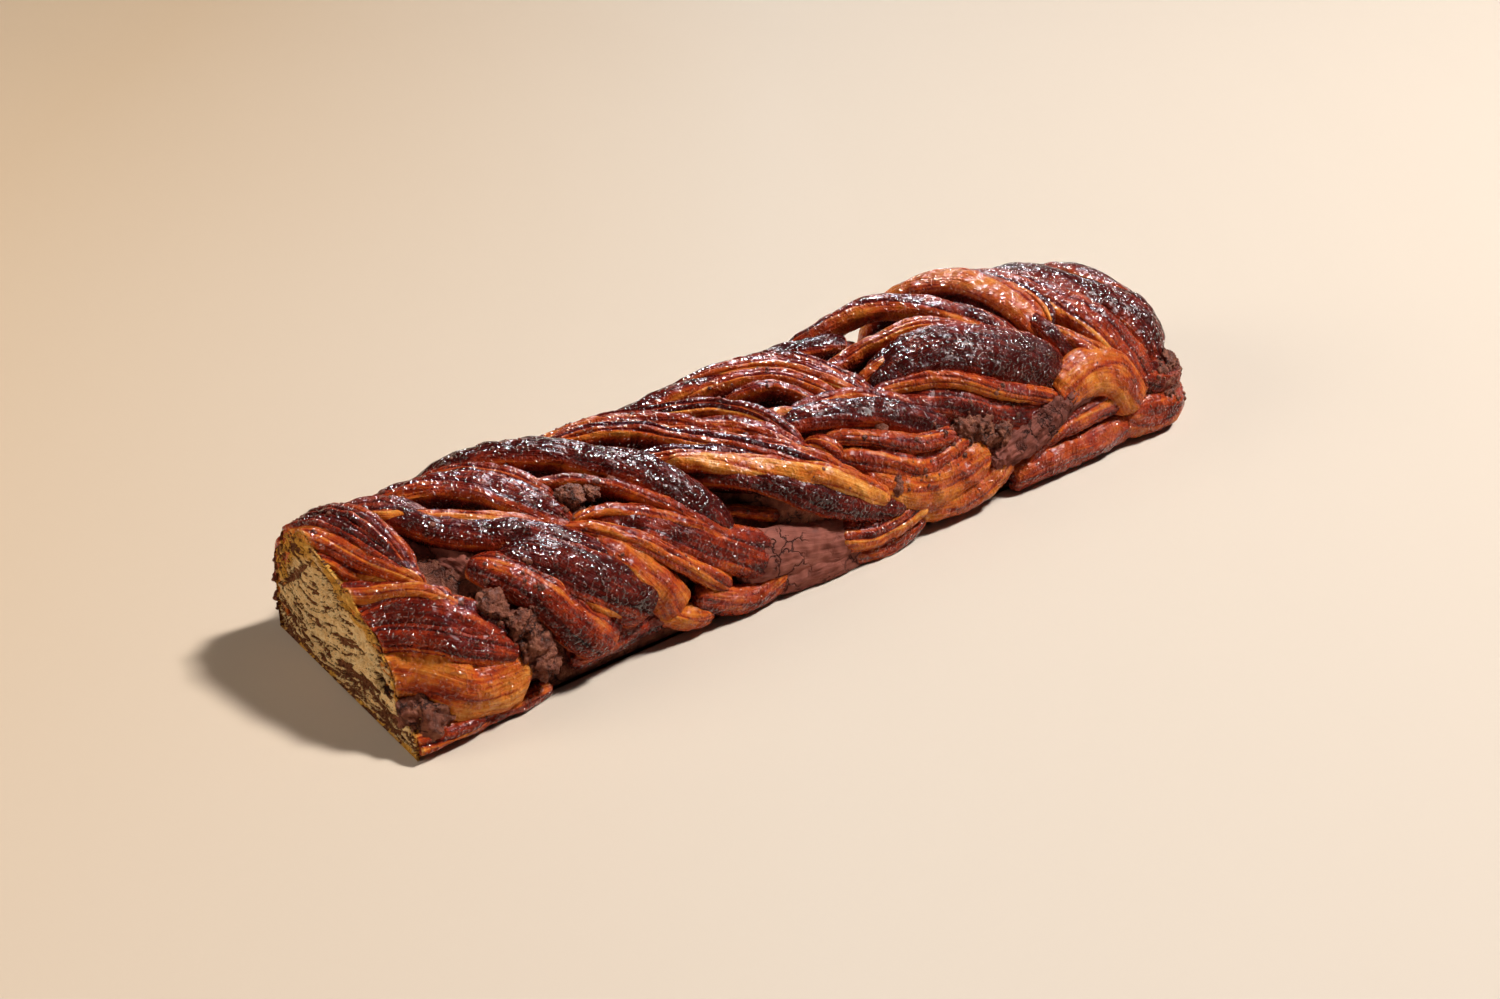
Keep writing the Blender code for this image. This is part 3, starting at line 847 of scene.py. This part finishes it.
# %% [markdown]
# A photograph of the front doesn't show the back, but a twist has a symmetry: turned half
# round, its front becomes its back. So the low rows of the front come again there.

# %% Turn the loaf round
TURN_MIDDLE = 178.0
BACK_LIMIT = 79
ARCH_GAP = (228, 276, 154)


def half_turned(route):
    """The route once the loaf is turned round, which brings the front to the back."""
    return tuple((TURN_MIDDLE * 2 - u, 180 - angle) for u, angle in route)


def fits_at_back(route):
    """Whether a row of the front comes again at the back, clear of the arch's gap."""
    start, end, foot = ARCH_GAP
    low = max(angle for _, angle in route) < BACK_LIMIT
    return low and not any(start < u < end and angle < foot for u, angle in half_turned(route))


print("low rows come again at the back, up to", BACK_LIMIT, "degrees")

# %% [markdown]
# Folds that reach the cut are cut off square by the bisect operator, which also closes them.
# Then all folds of a pass become one object, so that it is a single piece.

# %% Cut and join
CUT_REACH = 12


def edit_all(piece, operator, **settings):
    """Runs one edit-mode operator on the whole of a piece."""
    bpy.context.view_layer.objects.active = piece
    bpy.ops.object.mode_set(mode="EDIT")
    bpy.ops.mesh.select_all(action="SELECT")
    operator(**settings)
    bpy.ops.object.mode_set(mode="OBJECT")


def cut_off(piece, depth, **side):
    """Cuts a piece square at a depth behind the loaf's cut, and closes it."""
    plane = {"plane_co": (CAD_LOW.x + depth, 0, 0), "plane_no": (1, 0, 0)}
    edit_all(piece, bpy.ops.mesh.bisect, use_fill=True, **plane, **side)


def join_pieces(name, pieces):
    """Makes one object of several, with all faces turned outwards."""
    bpy.ops.object.select_all(action="DESELECT")
    for piece in pieces:
        piece.select_set(True)
    bpy.context.view_layer.objects.active = pieces[0]
    if len(pieces) > 1:
        bpy.ops.object.join()
    joined = bpy.context.object
    joined.name = name
    joined.data.name = name
    edit_all(joined, bpy.ops.mesh.normals_make_consistent, inside=False)
    bpy.ops.object.shade_smooth()
    return joined


def build_pass(name, rows):
    """Builds the folds of one pass and joins them."""
    folds = []
    for route, width, crest, look, *rest in rows:
        fold = add_fold("fold", route, width, crest, look, next(fold_seeds), *rest)
        if min(u for u, _ in route) < CUT_REACH:
            cut_off(fold, FOLD_SETBACK * MM, clear_inner=True)
        folds.append(fold)
    return join_pieces(name, folds)


fold_seeds = count(1)
print("folds can be cut and joined")

# %% Build the passes
FRONT_ONLY = ("fold_near_top", "fold_near_front", "fold_far_end")
FOOT_FOLDS = 9
FOOT_STEP = 38.0
FOOT_ROUTE = ((2, 178), (20, 171), (44, 164))
ARCH_ROUTE = ((206, 174), (214, 150), (226, 126), (246, 107), (267, 83), (281, 58))
NEAR_BACK_ROUTE = ((-14, 170), (2, 163), (14, 156), (28, 146))

fold_pieces = []
for name, rows in PASSES.items():
    fold_pieces.append(build_pass(name, rows))
    turned = [(half_turned(row[0]), *row[1:]) for row in rows if fits_at_back(row[0])]
    if turned and name not in FRONT_ONLY:
        fold_pieces.append(build_pass(name + "_back", turned))
foot = [
    (tuple((u + number * FOOT_STEP, angle) for u, angle in FOOT_ROUTE), 17, -0.5, "base")
    for number in range(FOOT_FOLDS)
]
fold_pieces.append(build_pass("fold_back_foot", foot))
fold_pieces.append(build_pass("fold_arch", [(ARCH_ROUTE, 12, 2, "russet", True)]))
fold_pieces.append(build_pass("fold_back_near", [(NEAR_BACK_ROUTE, 18, -2, "russet")]))
print(len(fold_pieces), "pieces,", sum(len(p.data.polygons) for p in fold_pieces), "faces")

# %% [markdown]
# ## Relief of the crust
#
# Syrup and baking leave the skin pitted. Displace modifiers give real relief: a gentle one over
# all of it, and a strong one where a vertex group says that the surface is crumbly.

# %% Relief
CLOUD_DETAIL = 2
# Size and depth of each relief, in metres.
GENTLE_RELIEF = (0.007, 0.0014)
PITTED_RELIEF = (0.0016, 0.0030)


def apply_all(piece):
    """Applies the piece's modifiers, one after the other."""
    bpy.context.view_layer.objects.active = piece
    for modifier in list(piece.modifiers):
        bpy.ops.object.modifier_apply(modifier=modifier.name)


def displace(piece, texture, strength, group=""):
    """Adds a Displace modifier along the normals."""
    modifier = piece.modifiers.new("relief", "DISPLACE")
    modifier.texture = texture
    modifier.texture_coords = "LOCAL"
    modifier.strength = strength
    modifier.mid_level = 0.5
    modifier.vertex_group = group


def crumbly_group(piece):
    """A vertex group that holds how crumbly each point is."""
    values = np.empty(len(piece.data.vertices), np.float32)
    piece.data.attributes["crumbly"].data.foreach_get("value", values)
    group = piece.vertex_groups.new(name="crumbly")
    for level in sorted(set(values.round(2).tolist())):
        if level > 0:
            group.add(np.flatnonzero(values.round(2) == round(level, 2)).tolist(), level, "REPLACE")


def press_flat(piece):
    """Presses what is below the base back up."""
    co = read_points(piece)
    co[:, 2] = np.maximum(co[:, 2], BASE_HEIGHT * MM)
    write_points(piece, co)


gentle = bpy.data.textures.new("gentle", "CLOUDS")
pitted = bpy.data.textures.new("pitted", "CLOUDS")
for texture, (size, _) in ((gentle, GENTLE_RELIEF), (pitted, PITTED_RELIEF)):
    texture.noise_scale = size
    texture.noise_depth = CLOUD_DETAIL
for piece in fold_pieces:
    crumbly_group(piece)
    displace(piece, gentle, GENTLE_RELIEF[1])
    displace(piece, pitted, PITTED_RELIEF[1], "crumbly")
    apply_all(piece)
    piece.vertex_groups.clear()
    press_flat(piece)
print("relief applied")

# %% [markdown]
# ## The core
#
# Between the folds the inside of the loaf shows as dark, dry chocolate, and underneath it is
# flat. The core is a copy of the solid loaf, merged, evened out and drawn in a little, so that
# the folds stand proud of it. A few deep gaps are pushed in, and a number on its points says
# where they are, so that painted shade makes them almost black.

# %% The core
CORE_GRAIN = 0.0015
CORE_SINK = 0.0030
CORE_START = 0.0075
BASE_ZONE = 0.001
HOLLOW_EDGE = 1.3
# Deep gaps between the folds: distance, angle, reach and depth in millimetres.
HOLLOWS = (
    (125, 61, 10, 14), (130, 53, 12, 16), (136, 42, 12, 16), (142, 33, 11, 14), (20, 66, 8, 12),
    (25, 50, 8, 14), (31, 36, 8, 14), (37, 26, 8, 12), (178, 87, 8, 10), (187, 36, 6, 8),
)


def copy_of_loaf(name):
    """A merged copy of the solid loaf's mesh as a new object."""
    made = bpy.data.objects.new(name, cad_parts["babka"].data.copy())
    bpy.context.scene.collection.objects.link(made)
    bpy.ops.object.select_all(action="DESELECT")
    made.select_set(True)
    edit_all(made, bpy.ops.mesh.remove_doubles, threshold=0.00001)
    made.data.materials.clear()
    return made


def read_normals(piece):
    """The directions in which the points of a piece face."""
    return np.array([vertex.normal[:] for vertex in piece.data.vertices])


def voxel_remesh(piece, size):
    """Gives a piece one even skin."""
    skin = piece.modifiers.new("even skin", "REMESH")
    skin.mode = "VOXEL"
    skin.voxel_size = size
    apply_all(piece)


core = copy_of_loaf("core")
voxel_remesh(core, CORE_GRAIN)
co = read_points(core)
flat_base = co[:, 2] < BASE_ZONE
co -= read_normals(core) * CORE_SINK
co[flat_base, 2] = 0.0
# Painted shade: how far each point lies in a deep gap, to colour it almost black.
hollow = np.zeros(len(co))
for u, angle, reach, depth in HOLLOWS:
    middle, out = place_on_loaf(u, angle)
    share = ease(HOLLOW_EDGE - np.linalg.norm(co - middle, axis=1) / (reach * MM))
    co -= out * (share * depth * MM)[:, None]
    hollow = np.maximum(hollow, share)
co[:, 0] = np.maximum(co[:, 0], CAD_LOW.x + CORE_START)
co[:, 2] = np.maximum(co[:, 2], 0.0)
write_points(core, co)
write_number(core, "hollow", hollow)
bpy.ops.object.shade_smooth()
print("the core has", len(core.data.polygons), "faces")

# %% [markdown]
# ## The crumb at the cut
#
# The cut shows pale crumb in thin layers with chocolate between them. The layers are sheets of
# dough that lean and sag, so one number, how far across them a point lies, gives them all. Wide
# bands of filling are given one by one.

# %% Layers of the crumb
LAYER_THICKNESS = 2.3
# Bands of filling at the cut: from (y, z) to (y, z), and half their thickness, in millimetres.
STREAKS = (
    (10, 28, -12, 32.5, 0.5), (5, 20, -18, 25.5, 1.5), (12, 8.5, -26, 14.5, 1.6),
    (32, 18, 6, 19, 0.7), (41, 20, 14, 44, 1.4), (44.5, 25, 24, 46, 0.6), (46, 30, 31, 48, 0.5),
    (15, 44, 0, 40, 1.3), (46, 12, 22, 6, 0.9), (40, 4, 18, 1, 1.4), (-18, 3, -36, 10, 0.6),
    (-27, 1, -43, 9, 0.6), (-24, 24, -30, 28, 0.6), (25, 30, 8, 33, 0.5), (-38, 12, -46, 17, 0.7),
)


def layer_place(y, z):
    """How far across the crumb's layers a point of the cut lies, in millimetres."""
    lean = z + 0.18 * y
    left = ease((y - 20) / 26) * (0.45 * np.maximum(z - 14, 0) + 0.35 * (y - 20))
    sag = 4.0 * ease((-y - 22) / 20) * ease((18 - z) / 14)
    return lean - left + sag + 1.0 * np.sin(y / 9.0) + 0.7 * np.sin(y / 4.3 + z / 7.0)


def streak_share(y, z, rough):
    """How much each point of the cut lies in one of the bands of filling."""
    most = np.zeros(len(y))
    for y0, z0, y1, z1, half in STREAKS:
        along_y, along_z = y1 - y0, z1 - z0
        t = np.clip(((y - y0) * along_y + (z - z0) * along_z) / (along_y**2 + along_z**2), 0, 1)
        away = np.hypot(y - y0 - t * along_y, z - z0 - t * along_z) + rough
        most = np.maximum(most, ease((half * (1.2 - (2 * t - 1) ** 2) - away) / 0.6 + 0.5))
    return most


def noise_at(*coordinates):
    """Smooth noise at many places."""
    return np.array([noise.noise(place) for place in zip(*np.broadcast_arrays(*coordinates))])


print(len(STREAKS), "bands of filling")

# %% [markdown]
# The crumb itself is a slab of the loaf's end with a fine, even mesh, drawn in a little behind
# its face. For every point it is then worked out how far from the rim it lies.

# %% The slab of crumb
CRUMB_GRAIN = 0.00055
CRUMB_DEPTH = 0.009
FACE_DEPTH = 0.9
RIM_DEPTH = 2.0

crumb = copy_of_loaf("crumb")
cut_off(crumb, CRUMB_DEPTH, clear_outer=True)
voxel_remesh(crumb, CRUMB_GRAIN)
co = read_points(crumb)
normals = read_normals(crumb)
behind = (co[:, 0] - CAD_LOW.x) / MM
inset = (0.5 + 2.2 * ease((behind - 1.2) / 1.5)) * MM
co[:, 1:] -= normals[:, 1:] * inset[:, None]
co[:, 2] = np.maximum(co[:, 2], BASE_HEIGHT * MM)
face = (behind < FACE_DEPTH) & (normals[:, 0] < -0.3)
side = (behind < RIM_DEPTH) & (np.abs(normals[:, 0]) < 0.5)
y, z = co[:, 1] / MM, co[:, 2] / MM
tree = KDTree(np.count_nonzero(side))
for number, (a, b) in enumerate(zip(y[side], z[side])):
    tree.insert((a, b, 0.0), number)
tree.balance()
rim = np.array([tree.find((a, b, 0.0))[2] for a, b in zip(y, z)])
print("the crumb has", len(crumb.data.polygons), "faces")

# %% [markdown]
# Where the filling was, and round pores, the face is torn and lies a little back. The one big
# hole goes deeper, but stays shallow next to the rim, where a fold lies behind it.

# %% Press in the layers, the pores and the hole
HOLE_PLACE = (-27.5, 19.5)
HOLE_SIZE = (6.0, 3.6)
HOLE_DEEP = 6.5
HOLE_SHALLOW = 0.6
HOLE_FROM_RIM = 7
DEEPEST = 7.0

across = layer_place(y, z)
along = y - 0.16 * z
torn = noise_at(across / 1.8, along / 9, 0.0)
gaps = noise_at(across / 4, along / 14, 9.0)
coarse = noise_at(3.0, y / 6, z / 3)
fine = noise_at(7.0, y / 1.3, z / 0.7)
line = np.abs(((across + 2.0 * torn + 0.8 * fine) / LAYER_THICKNESS) % 1.0 - 0.5) * 2
low_down = ease((17 - z) / 7)
far_side = ease((y - 16) / 18)
squashed = ease((13 - z) / 6) * ease((12 - y) / 12) * ease((y + 40) / 8)
width = 0.24 + 0.65 * gaps + 0.10 * low_down + 0.16 * squashed + 0.16 * far_side
filled = 1 - ease((line - width + 0.12) / 0.24)
filled = np.maximum(filled, streak_share(y, z, 1.3 * torn + 0.5 * fine))
hole = ((y - HOLE_PLACE[0]) / HOLE_SIZE[0]) ** 2 + ((z - HOLE_PLACE[1]) / HOLE_SIZE[1]) ** 2
hole_share = ease((1.15 - hole - 0.9 * torn - 0.5 * fine) / 0.5)
hole_depth = HOLE_SHALLOW + (HOLE_DEEP - HOLE_SHALLOW) * ease((rim - HOLE_FROM_RIM) / 3)
pressed_in = 1.0 * filled + 0.5 * (torn + 0.3) + 0.9 * (coarse + 0.35) + 0.6 * (fine + 0.3)
pressed_in += 0.8 * ease((1.5 - rim) / 1.5)
pressed_in += hole_share * hole_depth
pressed_in = np.clip(pressed_in, 0.0, DEEPEST)
co[face, 0] = CAD_LOW.x + pressed_in[face] * MM
write_points(crumb, co)
bpy.ops.object.shade_smooth()
print("the face is pressed in by up to", pressed_in[face].max().round(1), "mm")

# %% [markdown]
# The finish needs to know where the crumb is golden: in the upper part next to the rim, in a
# patch at the middle of the foot and at the rim itself. It also needs the share of filling, the
# place across and along the layers, and the hole, which gets painted shade: it counts as filling
# and is painted almost black.

# %% Numbers for the crumb's colour
gold = ease((y - 8) / 8) * ease((z - 20) / 6) * ease((9 - rim) / 3)
gold = np.maximum(gold, ease((10 - y) / 6) * ease((z - 28) / 5) * ease((7 + 3 * gaps - rim) / 2.5))
gold = np.maximum(gold, ease((3 - z) / 1.5) * ease(1.4 - np.abs(y - 3) / 14))
gold = np.maximum(gold, ease((1.6 - rim) / 1.0))
dense = 0.09 + 0.18 * low_down + 0.13 * squashed + 0.14 * far_side
KEPT = {
    # Painted shade: the hole is counted as filling, which darkens it.
    "filling": np.clip(dense + 0.62 * filled + hole_share, 0, 1),
    "across": across + 1.2 * torn,
    "along": along,
    # Painted shade: where the hole is, for a colour almost black.
    "hole": hole_share,
    "golden": np.clip(gold + 0.5 * torn * gold, 0, 1),
}
for name, values in KEPT.items():
    write_number(crumb, name, values)
print("kept on the crumb:", ", ".join(KEPT))

# %% [markdown]
# ## Lumps and crumbs of filling
#
# Lumps of chocolate lie in the grooves, and small crumbs of it are caught all over. Each is a
# ball with a rough skin, flattened against the loaf.

# %% Lumps
# Distance, angle and radius of each lump, in millimetres.
LUMPS = (
    (37, 42, 5), (44, 30, 5), (47, 20, 6), (49, 12, 6), (6, 13, 8), (82, 77, 4.5), (204, 22, 7),
    (240, 30, 6), (248, 27, 6), (256, 22, 6), (88, 74, 3), (350, 24, 6), (359, 28, 6),
    (368, 24, 6), (377, 28, 5), (384, 20, 5), (356, 12, 6), (368, 12, 6), (380, 12, 7),
    (2.5, 176, 1.6), (2, 172, 2.0), (3, 168, 1.4), (2, 164, 1.8), (2.5, 159, 1.3), (2, 154, 1.7),
)
# Height and rate of the bumps on a ball, and how far apart the noise of two balls lies.
BALL_BUMPS = ((1.0, 1.5), (0.5, 3.7), (0.3, 8.1))
BALL_OFFSET = (3.7, 1.3, 7.1)
LUMP_SHAPE = {"flatness": 0.35, "roughness": 0.45, "detail": 5}


def add_rough_ball(place, out, size, flatness, roughness, detail, seed):
    """A rough ball of filling, flattened on to the crust."""
    bpy.ops.mesh.primitive_ico_sphere_add(subdivisions=detail, radius=size, location=(0, 0, 0))
    ball = bpy.context.object
    rest = read_points(ball)
    offset = Vector([seed * step for step in BALL_OFFSET])
    bumps = np.array([
        sum(height * noise.noise(Vector(p) / size * rate + offset) for height, rate in BALL_BUMPS)
        for p in rest
    ])
    axis = np.array(out)
    rest = rest - np.outer(rest @ axis, axis) * flatness
    rest = rest * (1 + roughness * bumps)[:, None] + np.array(place)
    write_points(ball, rest)
    return ball


def keep_on_loaf(piece):
    """Presses what is below the base, or past the cut, back in."""
    press_flat(piece)
    co = read_points(piece)
    co[:, 0] = np.maximum(co[:, 0], CAD_LOW.x)
    write_points(piece, co)


balls = []
for number, (u, angle, radius) in enumerate(LUMPS):
    middle, out = map(Vector, place_on_loaf(u, angle))
    middle -= out * (1.0 + 0.5 * radius) * MM
    balls.append(add_rough_ball(middle, out, radius * MM, seed=number, **LUMP_SHAPE))
lumps = join_pieces("filling_lumps", balls)
keep_on_loaf(lumps)
print(len(LUMPS), "lumps")

# %% [markdown]
# The crumbs need to lie on the crust, wherever a fold has put it. A ray from outside finds the
# place: a tree of each piece's faces tells where the ray meets it, and the nearest one counts.

# %% Find the crust
RAY_START = 0.03
trees = []
for piece in fold_pieces + [core]:
    trees.append(BVHTree.FromPolygons(
        [v.co for v in piece.data.vertices], [p.vertices[:] for p in piece.data.polygons]
    ))


def find_crust(u, angle):
    """Where a ray into the loaf at a place first meets the crust, and the way out there."""
    surface, out = map(Vector, place_on_loaf(u, angle))
    start = surface + out * RAY_START
    best = None
    for tree in trees:
        place, normal, _, distance = tree.ray_cast(start, -out)
        if place is not None and (best is None or distance < best[2]):
            best = (place, normal, distance)
    return (best[0], best[1]) if best else (start - out * RAY_START, out)


print("rays can find the crust on", len(trees), "pieces")

# %% [markdown]
# Six crumbs are modelled, and hundreds of copies of them, each with its own size and turn,
# are gathered in one mesh.

# %% Crumbs
# Distance, angle, reach along, reach round and number of the crumbs of each field.
CRUMB_FIELDS = (
    (40, 40, 14, 22, 70), (84, 74, 12, 8, 60), (175, 92, 20, 12, 60), (235, 30, 30, 12, 80),
    (352, 22, 16, 14, 90), (20, 110, 20, 30, 60), (110, 120, 40, 20, 60), (184, 90, 170, 60, 120),
    (184, 160, 170, 15, 90),
)
CRUMB_SHAPE = {"flatness": 0.3, "roughness": 0.5, "detail": 2}
CRUMB_MODELS = 6
CRUMB_RADII = (0.35, 0.5, 0.7, 1.1)
CRUMB_SHARES = (0.4, 0.35, 0.18, 0.07)
CRUMB_SEED = 4

scatter = np.random.default_rng(CRUMB_SEED)
up = Vector((0, 0, 1))
models = [
    add_rough_ball((0, 0, 0), up, MM, seed=20 + number, **CRUMB_SHAPE)
    for number in range(CRUMB_MODELS)
]
heap = bmesh.new()
made = 0
for u, angle, reach, spread, amount in CRUMB_FIELDS:
    for _ in range(amount):
        place, out = find_crust(
            float(np.clip(u + reach * scatter.uniform(-1, 1), 4, 380)),
            float(np.clip(angle + spread * scatter.uniform(-1, 1), 4, 176)),
        )
        size = scatter.choice(CRUMB_RADII, p=CRUMB_SHARES)
        turn = out.to_track_quat("Z", "Y").to_matrix().to_4x4()
        spin = Matrix.Rotation(scatter.uniform(0, 2 * pi), 4, "Z") @ Matrix.Scale(size, 4)
        model = models[made % CRUMB_MODELS].data.copy()
        model.transform(Matrix.Translation(place) @ turn @ spin)
        heap.from_mesh(model)
        bpy.data.meshes.remove(model)
        made += 1
crumbs = join_pieces("filling_crumbs", models)
heap.to_mesh(crumbs.data)
heap.free()
keep_on_loaf(crumbs)
bpy.ops.object.shade_smooth()
print(made, "crumbs")

# %% [markdown]
# ## The crust's finish
#
# Syrup over dark chocolate dough is nearly black on the crowns, chestnut and orange where the
# dough shows, and dull where it is dry. The bake kept on the points picks a colour from a ramp,
# and streaks along each fold, blotches and specks break it up.

# %% The crust's patterns and colours
STREAK_STRETCH = (0.045, 1.0, 1.0)
BLOTCH_SIZE, BUBBLE_SIZE, BEAD_SIZE, SPECK_SIZE = 0.007, 0.0044, 0.0012, 0.0010
BEAD_RANGE = (0.46, 0.74)
STREAK_WEIGHT, BLOTCH_WEIGHT, SPECK_WEIGHT = 0.70, 0.60, 0.32
DRY_RANGE = (0.35, 0.70)
CRUST_CRACKS = (0.009, 0.06)
CRUST_CRACK_COLOUR = (0.03, 0.008, 0.006, 1.0)
BAKE_STOPS = (
    (0.00, (0.036, 0.0028, 0.0022)),
    (0.20, (0.110, 0.0085, 0.0045)),
    (0.40, (0.260, 0.0260, 0.0075)),
    (0.55, (0.400, 0.0620, 0.0100)),
    (0.72, (0.520, 0.1350, 0.0170)),
    (0.88, (0.620, 0.2250, 0.0380)),
    (1.00, (0.710, 0.3300, 0.0850)),
)
DRY_STOPS = (
    (0.0, (0.060, 0.0150, 0.0110)),
    (0.4, (0.235, 0.0700, 0.0500)),
    (1.0, (0.390, 0.1500, 0.1100)),
)

crust = Finish("glazed_crust", Specular_IOR_Level=0.05)
place = crust.place()
strand = crust.node("ShaderNodeUVMap", {"uv_map": "UVMap"}, out="UV")
stretched = crust.node(
    "ShaderNodeMapping", {"vector_type": "POINT"}, {"Vector": strand, "Scale": STREAK_STRETCH}
)
streaks = crust.noise(stretched, 1.0, 3.0, 0.6)
blotches = crust.noise(place, BLOTCH_SIZE, 3.0, 0.6)
bubbles = crust.noise(place, BUBBLE_SIZE, 0.0)
specks = crust.noise(place, SPECK_SIZE, 2.0, 0.6)
tone = crust.attribute("bake") + (streaks - 0.5) * STREAK_WEIGHT
tone = tone + (blotches - 0.5) * BLOTCH_WEIGHT + (specks - 0.5) * SPECK_WEIGHT
patchy = crust.spread(crust.attribute("matte") + (blotches - 0.5) * 0.8, *DRY_RANGE)
open_crack = crust.crazing(place, *CRUST_CRACKS)
glazed = crust.ramp(tone, BAKE_STOPS)
dry = crust.ramp(tone * 0.6 + bubbles * 0.4, DRY_STOPS)
cracked = crust.blend(open_crack, CRUST_CRACK_COLOUR, dry)
crust.set("Base Color", crust.blend(patchy, glazed, cracked))
print("the crust goes through", len(BAKE_STOPS), "colours as it bakes")

# %% [markdown]
# Its sparkle comes from small drops of syrup. So the dough itself hardly shines, and a wet layer
# lies over it where noise is high enough to be a drop, mostly on the dark, burnt parts.

# %% The crust's shine
shine = crust.spread(blotches + (streaks - 0.5) * 0.5, 0.3, 0.7, 0.20, 0.35)
crust.set("Roughness", shine + patchy * 0.50)
skin = crust.bump(bubbles, 0.0016, 1.0, crust.bump(streaks, 0.0005, 0.8))
skin = crust.bump(open_crack * patchy, 0.0008, 0.8, skin)
crust.set("Normal", skin)
beads = crust.spread(crust.noise(place, BEAD_SIZE, 0.0), *BEAD_RANGE)
burnt = crust.spread(tone, 0.3, 0.7, 1.0, 0.6)
drops = crust.spread(beads, 0.0, 0.12) * burnt * (1 - patchy)
crust.add_wet_layer(
    drops, crust.bump(beads, 0.0004, 1.0, skin), Roughness=0.05, Specular_IOR_Level=0.5
)
for piece in fold_pieces:
    piece.data.materials.clear()
    piece.data.materials.append(crust.material)
    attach(piece, "root")
print("crust finished on", len(fold_pieces), "pieces")

# %% [markdown]
# ## The filling's finish
#
# Dry chocolate filling is brown with a grey-pink bloom, and cracked. Voronoi cells give the
# cracks. In the deep gaps of the core, where hardly any light comes, painted shade makes it almost
# black.

# %% Filling finish
FILLING_STOPS = (
    (0.25, (0.060, 0.0160, 0.0090)),
    (0.50, (0.200, 0.0580, 0.0330)),
    (0.80, (0.400, 0.1600, 0.0900)),
)
FILLING_CRACK_COLOUR = (0.02, 0.006, 0.005, 1.0)
# Painted shade for the deep gaps of the core, where little light comes.
GAP_SHADE_COLOUR = (0.012, 0.004, 0.003, 1.0)

filling = Finish("dry_chocolate", Specular_IOR_Level=0.07)
place = filling.place()
mottle = filling.noise(place, 0.004, 4.0, 0.65)
open_crack = filling.crazing(place, 0.006, 0.08)
colour = filling.ramp(mottle, FILLING_STOPS)
cracked = filling.blend(open_crack, FILLING_CRACK_COLOUR, colour)
# Painted shade: the deep gaps go almost black.
in_gap_shade = filling.attribute("hollow")
filling.set("Base Color", filling.blend(in_gap_shade, cracked, GAP_SHADE_COLOUR))
filling.set("Roughness", filling.spread(mottle, 0.35, 0.65, 0.25, 0.7) + in_gap_shade * 0.4)
rough = filling.bump(open_crack, 0.0006, 0.6)
filling.set("Normal", filling.bump(filling.noise(place, 0.0012, 4.0, 0.7), 0.0012, 1.0, rough))
for piece in (core, lumps, crumbs):
    piece.data.materials.clear()
    piece.data.materials.append(filling.material)
    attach(piece, "root")
print("filling finished")

# %% [markdown]
# ## The crumb's finish
#
# The crumb is butter-yellow, with thin broken lines of chocolate along its layers. It is golden
# where it meets the crust, and painted shade makes it almost black in the hole. Noise that is
# stretched along the layers breaks the lines.

# %% Crumb finish
PALE_STOPS = (
    (0.25, (0.46, 0.200, 0.060)),
    (0.42, (0.82, 0.490, 0.200)),
    (0.65, (0.96, 0.720, 0.390)),
)
GOLD_STOPS = ((0.30, (0.45, 0.150, 0.016)), (0.65, (0.85, 0.440, 0.080)))
BROWN_STOPS = ((0.30, (0.050, 0.013, 0.006)), (0.70, (0.26, 0.095, 0.040)))
# Painted shade inside the hole of the crumb.
HOLE_SHADE_COLOUR = (0.02, 0.006, 0.004, 1.0)
LAYER_STRETCH = 0.11
LAYER_TEAR = 0.8

inside = Finish("layered_crumb", Roughness=0.9, Specular_IOR_Level=0.05)
place = inside.place()
torn_edge = inside.noise(place, 0.0030, 4.0, 0.65)
pore = inside.noise(place, 0.0010, 3.0, 0.65)
pale = inside.ramp(torn_edge * 0.6 + pore * 0.4, PALE_STOPS)
gold = inside.ramp(torn_edge, GOLD_STOPS)
brown = inside.ramp(pore, BROWN_STOPS)
along_layers = inside.attribute("along") * LAYER_STRETCH
layers = inside.node(
    "ShaderNodeCombineXYZ",
    None,
    {"X": inside.attribute("across"), "Y": along_layers, "Z": torn_edge * LAYER_TEAR},
)
broken = (inside.noise(layers, 0.9, 3.0, 0.6) - 0.5) * 2.4 + (pore - 0.5) * 0.5
dark = inside.spread(inside.attribute("filling") + broken, 0.36, 0.60)
layered = inside.blend(dark, inside.blend(inside.attribute("golden"), pale, gold), brown)
inside.set("Base Color", inside.blend(inside.attribute("hole"), layered, HOLE_SHADE_COLOUR))
torn_bump = inside.bump(1 - dark, 0.0010, 0.8, inside.bump(torn_edge, 0.0020, 1.0))
inside.set("Normal", inside.bump(pore, 0.0014, 1.0, torn_bump))
crumb.data.materials.clear()
crumb.data.materials.append(inside.material)
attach(crumb, "root")
print("crumb finished")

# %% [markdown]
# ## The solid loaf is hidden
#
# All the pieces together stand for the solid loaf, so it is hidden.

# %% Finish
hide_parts("babka")
